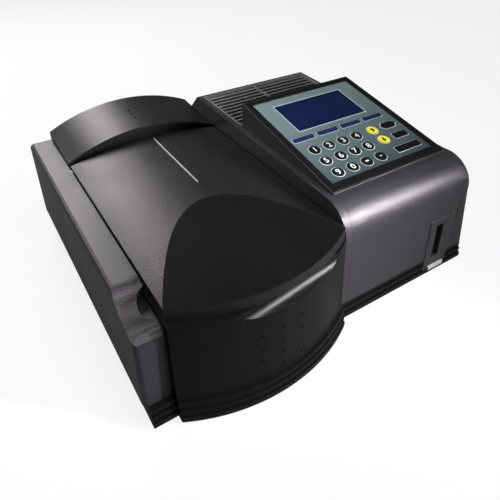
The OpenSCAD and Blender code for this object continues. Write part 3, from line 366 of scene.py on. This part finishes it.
def make_materials(looks):
    """Every finish of the instrument, by name."""
    low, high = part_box("keypad_overlay")
    return {
        # Metallic two-pack paint on moulded ABS: satin, and the flake gives a fine bright grain.
        # Real flake is 0.05 mm; it is drawn at 1.3 mm so that it shows.
        "housing": moulded("metallic_paint_on_abs", looks.housing, (0.37, 0.10, 0.4),
                           (1.3, 0.45, 0.04, 0.26), flake=0.3, tint="#fff2f9"),
        # The same paint, mixed darker, on the lid and the hood
        "lid": moulded("dark_metallic_paint_on_abs", looks.lid, (0.34, 0.12, 0.36),
                       (1.3, 0.45, 0.05, 0.28), flake=0.3, tint="#fff0f8"),
        # The lid's sloping front: near-black paint as painted shade, dark where the flake beside it shines
        "facet": moulded("near_black_painted_shade_on_abs", looks.facet, (0.3, 0.0, 0.12), (1.0, 0.4, 0.1, 0.05)),
        # ABS moulded in a spark-eroded tool: even satin with a faint grain
        "bay": moulded("satin_black_abs", looks.bay, (0.36, 0.0, 0.12), (0.9, 0.16, 0.05, 0.015)),
        # ABS from a coarser tool: duller, so that the plinth hides scuffs
        "plinth": moulded("textured_black_abs", looks.plinth, (0.42, 0.0, 0.16), (1.1, 0.2, 0.08, 0.04)),
        # Metallic paint with more flake on the thin slats: they catch the light against the dark gaps
        "grille": moulded("light_metallic_paint_on_abs", looks.grille, (0.36, 0.25, 0.5),
                          (0.7, 0.10, 0.03, 0.012)),
        # Moulded rubber: dull, a little dusty
        "rubber": moulded("moulded_rubber", linear("#1a1a1a"), (0.85, 0.0, 0.25), (0.8, 0.25, 0.12, 0.05)),
        # Polycarbonate moulded with a light spark texture: a soft black rim
        "rim": moulded("satin_black_polycarbonate", linear("#0c0c0e"), (0.45, 0.0, 0.16),
                       (0.5, 0.18, 0.04, 0.02)),
        # Polyester film, printed on its back, under a faint fine texture; darker towards the user as painted
        # shade
        "film": keypad_film_with_painted_shade("textured_polyester_film_with_painted_shade", looks.film, looks.film_shaded_near, high[1], low[1]),
        # Dyed cast acrylic over the display: glossy and deep blue
        "display": moulded("tinted_acrylic", looks.display, (0.12, 0.0, 0.22), (3.0, 0.05, 0.25, 0.0)),
        # Keys cast in silicone and lacquered black, yellow or blue: a soft sheen
        "key": moulded("lacquered_black_silicone", looks.key, (0.48, 0.0, 0.16), (0.5, 0.2, 0.05, 0.015)),
        "arrow_key": moulded("lacquered_yellow_silicone", looks.arrow_key, (0.45, 0.0, 0.4),
                             (0.5, 0.06, 0.03, 0.01)),
        "menu_key": moulded("lacquered_blue_silicone", looks.menu_key, (0.45, 0.0, 0.2),
                            (0.5, 0.1, 0.04, 0.01)),
        # Screen-printed ink: flat and even
        "print": moulded("screen_printed_ink", looks.print_white, (0.55, 0.0, 0.3), (0.6, 0.05, 0.03, 0.0)),
        # White ABS from a fine tool: a clean satin button
        "eject": moulded("white_abs", linear("#b4b4b3"), (0.4, 0.0, 0.4), (0.8, 0.04, 0.03, 0.01)),
        # Stainless bar, turned and drawn through emery: a soft line of light along it
        "rod": brushed("turned_stainless_steel", linear("#7e7f82"), 0.38, "y"),
        # Ground steel: brighter and tighter than the bar
        "pin": brushed("ground_steel_pin", linear("#b6b8ba"), 0.28, "x"),
        # Black zinc on steel: a grey sheen that wears bright in the recess
        "screw": moulded("black_zinc_plated_steel", linear("#3a3b3e"), (0.35, 0.8, 0.5),
                         (0.4, 0.12, 0.05, 0.008)),
        # Anodised aluminium: dull black so that stray light dies in the chamber
        "chamber": moulded("black_anodised_aluminium", linear("#0d0d0e"), (0.55, 0.3, 0.3),
                           (0.6, 0.15, 0.06, 0.01)),
        # Aluminium blasted with glass bead and anodised: a matt, slightly sandy black
        "carriage": moulded("bead_blasted_black_aluminium", linear("#1b1b1d"), (0.5, 0.4, 0.35),
                            (0.5, 0.2, 0.06, 0.02)),
        # Optical glass and fused quartz, ground and polished: clear, with a faint cool tint
        "cell": clear_glass("optical_glass", linear("#eef6f8"), 1.5, 0.0),
        "quartz": clear_glass("fused_quartz", linear("#f6f8f8"), 1.46, 0.01),
        # Steel cans, blackened in hot oxide: a blue-grey semi-gloss
        "motor": moulded("black_oxide_steel", linear("#55575a"), (0.4, 0.7, 0.5), (0.6, 0.1, 0.08, 0.01)),
        # Aluminium plate left as milled: cutter lines half a millimetre apart
        "alloy": brushed("milled_aluminium", linear("#a8aaac"), 0.35, "x", 0.5),
        # Rolled steel sheet, zinc plated: a bright grey with rolling lines
        "sheet": brushed("zinc_plated_sheet", linear("#b9bbbd"), 0.38, "z", 0.4),
        # Aluminium coated on polished glass: a near mirror
        "mirror": brushed("aluminised_glass", linear("#e4e8ea"), 0.07, "z", 3.0),
        # Brass blackened by dipping: dull, so that it throws no light back into the optics
        "black_metal": moulded("blackened_brass", linear("#17171a"), (0.5, 0.4, 0.35),
                               (0.5, 0.15, 0.05, 0.01)),
        # Nylon filled with glass fibre, moulded: a grey-black matt
        "fan": moulded("glass_filled_black_nylon", linear("#161618"), (0.55, 0.0, 0.3),
                       (0.6, 0.2, 0.05, 0.02)),
        # Fibreglass laminate under green solder resist: paler where copper runs beneath
        "board": circuit_board("solder_masked_fibreglass", linear("#1d5a37"), linear("#2f7a4c"), 0.8),
    }


NODE_FINISH = {
    "base_tray": "plinth", "rubber_feet": "rubber", "left_housing": "housing", "bay_shell": "bay",
    "rear_hood": "lid", "lid": "lid", "lid_strip": "rod", "hinge_pins": "pin", "right_housing": "housing",
    "front_panel": "housing", "louvre_grille": "grille", "console_housing": "housing",
    "console_bezel": "rim", "keypad_overlay": "film", "display_window": "display",
    "display_module": "board", "keypad_board": "board", "card_slot_plate": "housing",
    "eject_key": "eject", "sample_chamber": "chamber", "carriage_rails": "rod",
    "cell_carriage": "carriage", "cuvettes": "cell", "carriage_screw": "rod", "drive_motors": "motor",
    "detector_unit": "alloy", "optics_plate": "alloy", "lamp_house": "sheet", "halogen_lamp": "quartz",
    "filter_wheel": "black_metal", "slit_plates": "black_metal", "mirror_set": "mirror",
    "grating_table": "alloy", "main_board": "board", "power_supply": "sheet", "fan_frame": "fan",
    "fan_rotor": "fan", "mains_inlet": "rim", "power_rocker": "key",
}
FINISHES = {}


def finish_named(name):
    """A finish, made once from the scene's colours."""
    if not FINISHES:
        FINISHES.update(make_materials(bpy.context.scene.spectro_finishes))
    return FINISHES[name]


def node_finish(node):
    """The finish of a solid of the frame."""
    if node in NODE_FINISH:
        return NODE_FINISH[node]
    if node in ("key_up", "key_down"):
        return "arrow_key"
    return "menu_key" if node.startswith("key_function") else "key"


def body_of(node):
    """The body that a solid belongs to."""
    for body, members in frame["record"]["behaviour"]["bodies"].items():
        if node in members:
            return body
    raise RuntimeError("no body holds " + node)


def new_object(name, mesh, material):
    """A mesh as an object of the scene, with one material."""
    made = bpy.data.objects.new(name, mesh)
    bpy.context.scene.collection.objects.link(made)
    mesh.materials.clear()
    mesh.materials.append(material)
    return made


def softened(node, width, segments=3, shaded_slope_finish=None):
    """Puts a copy with rounded edges in a solid's place; its forward slope may get a finish of painted shade.
    """
    mesh = NODES[node].data.copy()
    work = bmesh.new()
    work.from_mesh(mesh)
    bmesh.ops.remove_doubles(work, verts=work.verts, dist=SAME_POINT * MM)
    bmesh.ops.dissolve_limit(work, angle_limit=math.radians(SAME_FACE), verts=work.verts, edges=work.edges)
    bmesh.ops.recalc_face_normals(work, faces=work.faces)
    work.normal_update()
    for face in work.faces:
        face.smooth = True
        normal = face.normal
        # Faces of the forward slope take the darker finish: painted shade
        on_shaded_slope = shaded_slope_finish and normal.z > SLOPE_UP and SLOPE_BACK[0] < normal.y < SLOPE_BACK[1]
        face.material_index = 1 if on_shaded_slope else 0
    for edge in work.edges:
        if len({face.material_index for face in edge.link_faces}) > 1:
            edge.smooth = False
    slots = [face.material_index for face in work.faces]
    work.to_mesh(mesh)
    work.free()
    if mesh.has_custom_normals:
        mesh.attributes.remove(mesh.attributes["custom_normal"])
    made = new_object("soft_" + node, mesh, finish_named(node_finish(node)))
    if shaded_slope_finish:
        mesh.materials.append(finish_named(shaded_slope_finish))
        mesh.polygons.foreach_set("material_index", slots)
    bevel = made.modifiers.new("rounded edges", "BEVEL")
    bevel.width = width
    bevel.segments = segments
    bevel.limit_method = "ANGLE"
    bevel.angle_limit = math.radians(SHARP_EDGE)
    bevel.use_clamp_overlap = True
    bevel.miter_outer = "MITER_ARC"
    weighted = made.modifiers.new("even normals", "WEIGHTED_NORMAL")
    weighted.keep_sharp = True
    weighted.weight = 80
    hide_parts(node)
    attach(made, body_of(node))


def face_frame():
    """The console's face as a matrix: origin at its far left corner, x right, y away, z out."""
    low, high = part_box("console_housing")
    tilt = math.asin(min(1, (high[2] - low[2] - FACE_FOOT * MM) / (FACE_LENGTH * MM)))
    return Matrix.Translation((low[0], high[1], high[2])) @ Matrix.Rotation(tilt, 4, "X")


def on_face(x, down, height):
    """A point on the console's face, from millimetres."""
    return face_frame() @ Vector((x * MM, -down * MM, height * MM))


def corner_ring(work, points, level):
    """The corners of a closed outline, at a height above the console's face."""
    place = face_frame()
    return [work.verts.new(place @ Vector((x * MM, -y * MM, level * MM))) for x, y in points]


def join_rings(work, low, high):
    """Faces between two rings of corners."""
    for i in range(len(low)):
        j = (i + 1) % len(low)
        work.faces.new((low[i], low[j], high[j], high[i]))


def mesh_of(work, name):
    """The edited mesh with its faces turned outwards, as a mesh of the scene."""
    bmesh.ops.recalc_face_normals(work, faces=work.faces)
    mesh = bpy.data.meshes.new(name)
    work.to_mesh(mesh)
    work.free()
    return mesh


def outline_mesh(name, bands, bottom, top):
    """Flat bands between pairs of closed outlines on the console's face, from one height to another."""
    work = bmesh.new()
    for outer, inner in bands:
        rings = [corner_ring(work, points, level)
                 for points, level in ((outer, bottom), (inner, bottom), (inner, top), (outer, top))]
        for i in range(4):
            join_rings(work, rings[i], rings[(i + 1) % 4])
    return mesh_of(work, name)


def sign_mesh(name, points, bottom, top):
    """A flat sign over the console's face, filled, from one height to another."""
    work = bmesh.new()
    low, high = corner_ring(work, points, bottom), corner_ring(work, points, top)
    work.faces.new(low)
    work.faces.new(high)
    join_rings(work, low, high)
    return mesh_of(work, name)


def rounded_outline(x, y, width, height, radius, steps=6):
    """A rectangle with round corners as a list of points, centred on x, y."""
    points = []
    for corner, (sx, sy) in enumerate(((1, 1), (-1, 1), (-1, -1), (1, -1))):
        for i in range(steps + 1):
            turn = math.radians(90 * corner + 90 * i / steps)
            points.append((x + sx * (width / 2 - radius) + radius * math.cos(turn),
                           y + sy * (height / 2 - radius) + radius * math.sin(turn)))
    return points


def pointed_outline(x, y, width, height, more):
    """A bar with pointed ends as a list of points, grown by a margin, centred on x, y."""
    w, h = width / 2 + more * 1.2, height / 2 + more
    return [(x - w, y), (x - w + HEX_POINT, y - h), (x + w - HEX_POINT, y - h),
            (x + w, y), (x + w - HEX_POINT, y + h), (x - w + HEX_POINT, y + h)]


def key_centre(column, row):
    """Centre of a digit key on the console's face."""
    return FIRST_KEY[0] + KEY_PITCH * column, FIRST_KEY[1] + KEY_PITCH * row


class SPECTRO_OT_finishes(bpy.types.Operator):
    """Give every solid of the frame its finish"""
    bl_idname = "spectro.finishes"
    bl_label = "Finishes"

    def execute(self, context):
        for name, solid in NODES.items():
            solid.data.materials.clear()
            solid.data.materials.append(finish_named(node_finish(name)))
        return {"FINISHED"}


class SPECTRO_OT_covers(bpy.types.Operator):
    """Round the edges of the moulded covers"""
    bl_idname = "spectro.covers"
    bl_label = "Covers"

    def execute(self, context):
        edge = context.scene.spectro_sizes.edge
        # The lid's forward slope takes a near-black finish as painted shade
        softened("lid", edge, shaded_slope_finish="facet")
        for node in ("rear_hood", "left_housing", "right_housing", "front_panel"):
            softened(node, edge)
        softened("bay_shell", edge * 0.7)
        softened("louvre_grille", edge * 0.25, segments=2)
        softened("console_housing", edge * 0.6)
        softened("console_bezel", edge * 0.4)
        softened("base_tray", edge * 0.45)
        softened("card_slot_plate", edge * 0.4)
        return {"FINISHED"}


def new_tree(name, inputs):
    """An empty Geometry Nodes tree that takes points and named numbers, and its input node."""
    tree = bpy.data.node_groups.new(name, "GeometryNodeTree")
    tree.interface.new_socket("Geometry", in_out="INPUT", socket_type="NodeSocketGeometry")
    for each in inputs:
        tree.interface.new_socket(each, in_out="INPUT", socket_type="NodeSocketFloat")
    tree.interface.new_socket("Geometry", in_out="OUTPUT", socket_type="NodeSocketGeometry")
    return tree, add_node(tree, "NodeGroupInput")


def end_tree(tree, points, shape, turn, material):
    """Ends a Geometry Nodes tree: the shape on every point, turned, made real and given its material."""
    placed = add_node(tree, "GeometryNodeInstanceOnPoints", links={
        "Points": points, "Instance": shape.outputs[0], "Rotation": turn.outputs[0]})
    real = add_node(tree, "GeometryNodeRealizeInstances", links={"Geometry": placed.outputs[0]})
    painted = add_node(tree, "GeometryNodeSetMaterial", links={
        "Geometry": real.outputs[0], "Material": material})
    add_node(tree, "NodeGroupOutput", links={"Geometry": painted.outputs[0]})
    return tree


def ring_tree(material):
    """Geometry Nodes: a flat printed ring on every point."""
    tree, given = new_tree("printed rings", ("Radius", "Width", "Thickness", "Tilt"))
    middle = add_node(tree, "ShaderNodeMath", {"operation": "MULTIPLY_ADD"}, {
        0: given.outputs["Width"], 1: 0.5, 2: given.outputs["Radius"]})
    circle = add_node(tree, "GeometryNodeCurvePrimitiveCircle", links={
        "Resolution": 48, "Radius": middle.outputs[0]})
    strip = add_node(tree, "GeometryNodeCurvePrimitiveQuadrilateral", links={
        "Width": given.outputs["Width"], "Height": given.outputs["Thickness"]})
    ring = add_node(tree, "GeometryNodeCurveToMesh", links={
        "Curve": circle.outputs[0], "Profile Curve": strip.outputs[0]})
    turn = add_node(tree, "ShaderNodeCombineXYZ", links={"X": given.outputs["Tilt"]})
    return end_tree(tree, given.outputs["Geometry"], ring, turn, material)


def grown(name, points, tree, values, material, ways=None):
    """Runs a node tree on points, each with its way where given, and keeps the result as a plain mesh."""
    seed = bpy.data.meshes.new(name + "_points")
    seed.from_pydata(points, [], [])
    if ways:
        seed.attributes.new("way", "FLOAT_VECTOR", "POINT").data.foreach_set(
            "vector", [part for way in ways for part in way])
    carrier = bpy.data.objects.new(name + "_carrier", seed)
    bpy.context.scene.collection.objects.link(carrier)
    modifier = carrier.modifiers.new("grow", "NODES")
    modifier.node_group = tree
    for item in tree.interface.items_tree:
        if item.in_out == "INPUT" and item.name in values:
            modifier[item.identifier] = values[item.name]
    ready = carrier.evaluated_get(bpy.context.evaluated_depsgraph_get())
    mesh = bpy.data.meshes.new_from_object(ready)
    carrier.modifiers.clear()
    bpy.data.objects.remove(carrier)
    mesh.name = name
    return new_object(name, mesh, material)


class SPECTRO_OT_key_rings(bpy.types.Operator):
    """Print the white rings round the round keys"""
    bl_idname = "spectro.key_rings"
    bl_label = "Key rings"

    def execute(self, context):
        centres = [key_centre(column, row) for _, _, column, row in DIGITS]
        centres += [(x, y) for _, x, y, _ in ARROWS]
        points = [on_face(x, y, OVERLAY_TOP + RING_LIFT) for x, y in centres]
        material = finish_named("print")
        tilt = face_frame().to_euler().x
        made = grown("printed_key_rings", points, ring_tree(material), {
            "Radius": RING_RADIUS * MM, "Width": context.scene.spectro_sizes.ring,
            "Thickness": RING_INK * MM, "Tilt": tilt}, material)
        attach(made, "chassis")
        return {"FINISHED"}


def screw_tree(material):
    """Geometry Nodes: a pan-head screw with a cross recess on every point, turned to the point's way."""
    tree, given = new_tree("pan head screws", ("Radius", "Height", "Recess"))
    crown = add_node(tree, "ShaderNodeMath", {"operation": "MULTIPLY"}, {
        0: given.outputs["Radius"], 1: SCREW_CROWN})
    head = add_node(tree, "GeometryNodeMeshCone", links={
        "Vertices": 28, "Radius Top": crown.outputs[0], "Radius Bottom": given.outputs["Radius"],
        "Depth": given.outputs["Height"]})
    size_a = add_node(tree, "ShaderNodeCombineXYZ", links={
        "X": given.outputs["Radius"], "Y": given.outputs["Recess"], "Z": given.outputs["Height"]})
    size_b = add_node(tree, "ShaderNodeCombineXYZ", links={
        "X": given.outputs["Recess"], "Y": given.outputs["Radius"], "Z": given.outputs["Height"]})
    lift = add_node(tree, "ShaderNodeMath", {"operation": "MULTIPLY"}, {
        0: given.outputs["Height"], 1: RECESS_RISE})
    rise = add_node(tree, "ShaderNodeCombineXYZ", links={"Z": lift.outputs[0]})
    bars = []
    for size in (size_a, size_b):
        cube = add_node(tree, "GeometryNodeMeshCube", links={"Size": size.outputs[0]})
        bars.append(add_node(tree, "GeometryNodeTransform", links={
            "Geometry": cube.outputs[0], "Translation": rise.outputs[0]}))
    cut = add_node(tree, "GeometryNodeMeshBoolean", {"operation": "DIFFERENCE"}, {"Mesh 1": head.outputs[0]})
    for bar in bars:
        tree.links.new(bar.outputs[0], cut.inputs["Mesh 2"])
    way = add_node(tree, "GeometryNodeInputNamedAttribute", {"data_type": "FLOAT_VECTOR"}, {"Name": "way"})
    turn = add_node(tree, "FunctionNodeAlignRotationToVector", {"axis": "Z"}, {"Vector": way.outputs[0]})
    return end_tree(tree, given.outputs["Geometry"], cut, turn, material)


class SPECTRO_OT_screws(bpy.types.Operator):
    """Drive the screws that hold the covers from behind and from below"""
    bl_idname = "spectro.screws"
    bl_label = "Screws"

    def execute(self, context):
        low, high = (Vector(corner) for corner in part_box("base_tray"))
        x_mid, y_mid = (low.x + high.x) / 2, (low.y + high.y) / 2
        inset = TRAY_INSET * MM
        under = [("base_tray", (x, y, low.z - CLEAR), (0, 0, 1))
                 for x in (low.x + inset, x_mid, high.x - inset)
                 for y in (low.y + 2 * inset, y_mid, high.y - inset)]
        right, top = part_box("right_housing")
        hood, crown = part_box("rear_hood")
        behind = [("right_housing", (x, right[1] + CLEAR, z * MM), (0, -1, 0))
                  for x in (right[0] + RIGHT_INSETS[0] * MM, top[0] - RIGHT_INSETS[1] * MM)
                  for z in RIGHT_HEIGHTS]
        behind += [("rear_hood", (x, right[1] + CLEAR, HOOD_HEIGHT * MM), (0, -1, 0))
                   for x in (hood[0] + HOOD_INSET * MM, crown[0] - HOOD_INSET * MM)]
        places, ways = [], []
        for node, start, way in under + behind:
            tree = BVHTree.FromPolygons([v.co for v in NODES[node].data.vertices],
                                        [p.vertices for p in NODES[node].data.polygons])
            spot, normal, _, _ = tree.ray_cast(Vector(start), Vector(way))
            if spot is None:
                raise RuntimeError("no surface for a screw on " + node)
            places.append(spot - normal * SCREW_SINK * MM)
            ways.append(normal)
        material = finish_named("screw")
        made = grown("cover_screws", places, screw_tree(material), {
            "Radius": context.scene.spectro_sizes.screw * MM, "Height": SCREW_HEIGHT * MM,
            "Recess": SCREW_RECESS * MM}, material, ways)
        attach(made, "chassis")
        return {"FINISHED"}


class SPECTRO_OT_outlines(bpy.types.Operator):
    """Print the light lines round the display and the bar keys"""
    bl_idname = "spectro.outlines"
    bl_label = "Outlines"

    def execute(self, context):
        x, y, width, height = DISPLAY
        framed = [(x + width / 2, y + height / 2, width, height, DISPLAY_LINE)]
        framed += [(*place, BAR_LINE) for _, *place in BARS]
        bands = [[rounded_outline(x, y, width + more, height + more, radius) for more, radius in line]
                 for x, y, width, height, line in framed]
        bands.append([pointed_outline(*HEX_KEY, more) for more in HEX_LINE])
        bottom = OVERLAY_TOP + INK_GAP
        mesh = outline_mesh("printed_outlines", bands, bottom, bottom + OUTLINE_INK)
        made = new_object("printed_outlines", mesh, finish_named("print"))
        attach(made, "chassis")
        return {"FINISHED"}


def legend(name, text, x, y, height, material, body):
    """A printed sign on a key, as a thin mesh on its top."""
    curve = bpy.data.curves.new(name, "FONT")
    curve.body = text
    curve.size = height * FONT_OVER_HEIGHT
    curve.extrude = SIGN_INK * MM
    curve.offset = STROKE * MM
    curve.align_x = "CENTER"
    curve.align_y = "CENTER"
    written = bpy.data.objects.new(name, curve)
    bpy.context.scene.collection.objects.link(written)
    mesh = bpy.data.meshes.new_from_object(written.evaluated_get(bpy.context.evaluated_depsgraph_get()))
    bpy.data.objects.remove(written)
    xs = [v.co.x for v in mesh.vertices]
    ys = [v.co.y for v in mesh.vertices]
    centre = Matrix.Translation((-(min(xs) + max(xs)) / 2, -(min(ys) + max(ys)) / 2, 0))
    # A minus and a point are drawn larger than the font has them, as on the keys
    if text in "-.":
        centre = Matrix.Scale(SMALL_SIGN, 4) @ centre
    mesh.transform(face_frame() @ Matrix.Translation((x * MM, -y * MM, (KEY_TOP + SIGN_INK) * MM)) @ centre)
    made = new_object(name, mesh, material)
    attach(made, body)


class SPECTRO_OT_digits(bpy.types.Operator):
    """Print the digits on the round keys"""
    bl_idname = "spectro.digits"
    bl_label = "Digits"

    def execute(self, context):
        size = context.scene.spectro_sizes.digit
        for node, text, column, row in DIGITS:
            x, y = key_centre(column, row)
            legend("digit_" + node[4:], text, x, y, size, finish_named("print"), node)
        return {"FINISHED"}


class SPECTRO_OT_arrows(bpy.types.Operator):
    """Print the arrows on the two yellow keys"""
    bl_idname = "spectro.arrows"
    bl_label = "Arrows"

    def execute(self, context):
        bottom = KEY_TOP + INK_GAP
        for node, x, y, way in ARROWS:
            name = "arrow_" + node[4:]
            points = [(x + a, y - b * way) for a, b in ARROW_SHAPE]
            mesh = sign_mesh(name, points, bottom, bottom + ARROW_INK)
            made = new_object(name, mesh, finish_named("key"))
            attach(made, node)
        return {"FINISHED"}


class SPECTRO_OT_stage(bpy.types.Operator):
    """Set up the floor, the lamps, the background and the camera"""
    bl_idname = "spectro.stage"
    bl_label = "Stage"

    def execute(self, context):
        build_floor()
        build_world(context.scene)
        build_lamps(context.scene)
        build_camera(context.scene)
        return {"FINISHED"}


def white_when_seen(tree, shown, lit, share, gloss):
    """White to the camera and through glass, partly so in gloss, and the lit surface otherwise.

    The share in gloss is low, so that the dark paint keeps its depth.
    """
    path = add_node(tree, "ShaderNodeLightPath")
    mirrored = add_node(tree, "ShaderNodeMath", {"operation": "MULTIPLY"}, {
        0: path.outputs["Is Glossy Ray"], 1: gloss})
    seen = add_node(tree, "ShaderNodeMath", {"operation": "ADD", "use_clamp": True}, {
        0: path.outputs["Is Camera Ray"], 1: path.outputs["Is Transmission Ray"]})
    clear = add_node(tree, "ShaderNodeMath", {"operation": "MULTIPLY"}, {0: seen.outputs[0], 1: share})
    weight = add_node(tree, "ShaderNodeMath", {"operation": "ADD", "use_clamp": True}, {
        0: clear.outputs[0], 1: mirrored.outputs[0]})
    return add_node(tree, "ShaderNodeMixShader", links={0: weight.outputs[0], 1: lit, 2: shown})


def build_floor():
    """A pale matt floor that keeps the object's shadow: nearly white to the camera, and clear from below.

    To bounced light it is a dark grey, so that it doesn't brighten the flanks.
    """
    mesh = bpy.data.meshes.new("floor")
    half = 6.0
    corners = [(-half, -half, 0), (half, -half, 0), (half, half, 0), (-half, half, 0)]
    mesh.from_pydata(corners, [], [(0, 1, 2, 3)])
    material, tree = new_material("matt_white_paper")
    place = add_node(tree, "ShaderNodeTexCoord").outputs["Object"]
    fibre = add_node(tree, "ShaderNodeTexNoise", links={"Vector": place, "Scale": FIBRES, "Detail": 2.0})
    tone = add_node(tree, "ShaderNodeMapRange", links={
        "Value": fibre.outputs["Fac"], "To Min": 0.82, "To Max": 0.86})
    path = add_node(tree, "ShaderNodeLightPath")
    pale = add_node(tree, "ShaderNodeMapRange", links={
        "Value": path.outputs["Is Camera Ray"], "To Min": 0.2, "To Max": 1.0})
    colour = add_node(tree, "ShaderNodeMath", {"operation": "MULTIPLY"}, {
        0: tone.outputs[0], 1: pale.outputs[0]})
    lit = add_node(tree, "ShaderNodeBsdfDiffuse", links={"Color": colour.outputs[0]})
    shown = add_node(tree, "ShaderNodeEmission", links={"Color": (1, 1, 1, 1), "Strength": 1.0})
    above = white_when_seen(tree, shown.outputs[0], lit.outputs[0], share=0.84, gloss=0.06)
    clear = add_node(tree, "ShaderNodeBsdfTransparent")
    side = add_node(tree, "ShaderNodeNewGeometry").outputs["Backfacing"]
    finish(tree, add_node(tree, "ShaderNodeMixShader", links={
        0: side, 1: above.outputs[0], 2: clear.outputs[0]}))
    floor = new_object("floor", mesh, material)


def build_world(scene):
    """A white background that lights the object only softly."""
    world = bpy.data.worlds.new("white studio")
    scene.world = world
    world.use_nodes = True
    tree = world.node_tree
    tree.nodes.clear()
    soft = add_node(tree, "ShaderNodeBackground", links={"Color": (1, 1, 1, 1), "Strength": 0.05})
    white = add_node(tree, "ShaderNodeBackground", links={"Color": (1, 1, 1, 1), "Strength": 1.0})
    both = white_when_seen(tree, white.outputs[0], soft.outputs[0], share=1.0, gloss=0.07)
    add_node(tree, "ShaderNodeOutputWorld", links={"Surface": both.outputs[0]})


def build_lamps(scene):
    """Soft studio lamps, each a rectangle that looks at a point; a grid narrows the beam of one."""
    for name, place, aim, size, power, beam in LAMPS:
        lamp = bpy.data.lights.new(name, "AREA")
        lamp.shape = "RECTANGLE"
        lamp.size, lamp.size_y = size
        lamp.energy = power
        lamp.spread = math.radians(beam)
        made = bpy.data.objects.new(name, lamp)
        scene.collection.objects.link(made)
        made.location = place
        made.rotation_euler = (Vector(aim) - Vector(place)).to_track_quat("-Z", "Y").to_euler()


def build_camera(scene):
    """A camera at the photograph's angle."""
    azimuth, height, roll = (math.radians(a) for a in CAMERA_TURN)
    back = Vector((math.sin(azimuth) * math.cos(height), -math.cos(azimuth) * math.cos(height),
                   math.sin(height)))
    right = Vector((math.cos(azimuth), math.sin(azimuth), 0))
    up = back.cross(right)
    turned = math.cos(roll) * right + math.sin(roll) * up
    upright = -math.sin(roll) * right + math.cos(roll) * up
    lens = bpy.data.cameras.new("camera")
    lens.sensor_width = 36
    lens.lens = CAMERA_LENS
    lens.shift_y = CAMERA_SHIFT
    lens.clip_start = 0.01
    camera = bpy.data.objects.new("camera", lens)
    scene.collection.objects.link(camera)
    axes = Matrix((turned, upright, back)).transposed()
    camera.matrix_world = Matrix.Translation(CAMERA_PLACE) @ axes.to_4x4()
    scene.camera = camera


class SPECTRO_PT_panel(bpy.types.Panel):
    """The instrument's pieces and finishes"""
    bl_idname = "SPECTRO_PT_panel"
    bl_label = "Spectrophotometer"
    bl_space_type = "VIEW_3D"
    bl_region_type = "UI"
    bl_category = "Spectrophotometer"

    def draw(self, context):
        layout = self.layout
        for group in (context.scene.spectro_finishes, context.scene.spectro_sizes):
            for name in group.__annotations__:
                layout.prop(group, name)
        for operator in OPERATORS:
            layout.operator(operator.bl_idname)


OPERATORS = (SPECTRO_OT_finishes, SPECTRO_OT_covers, SPECTRO_OT_screws, SPECTRO_OT_key_rings,
             SPECTRO_OT_outlines, SPECTRO_OT_digits, SPECTRO_OT_arrows, SPECTRO_OT_stage)
CLASSES = (SpectroFinishes, SpectroSizes, *OPERATORS, SPECTRO_PT_panel)


def register():
    """Registers the classes and the scene's settings."""
    for each in CLASSES:
        bpy.utils.register_class(each)
    bpy.types.Scene.spectro_finishes = bpy.props.PointerProperty(type=SpectroFinishes)
    bpy.types.Scene.spectro_sizes = bpy.props.PointerProperty(type=SpectroSizes)


def unregister():
    """Takes the classes and the settings away again."""
    del bpy.types.Scene.spectro_sizes
    del bpy.types.Scene.spectro_finishes
    for each in reversed(CLASSES):
        bpy.utils.unregister_class(each)


def main():
    """Builds the looks in order."""
    register()
    bpy.context.scene.view_settings.view_transform = "Standard"
    bpy.ops.spectro.finishes()
    bpy.ops.spectro.covers()
    bpy.ops.spectro.screws()
    bpy.ops.spectro.key_rings()
    bpy.ops.spectro.outlines()
    bpy.ops.spectro.digits()
    bpy.ops.spectro.arrows()
    bpy.ops.spectro.stage()


if __name__ == "__main__":
    main()
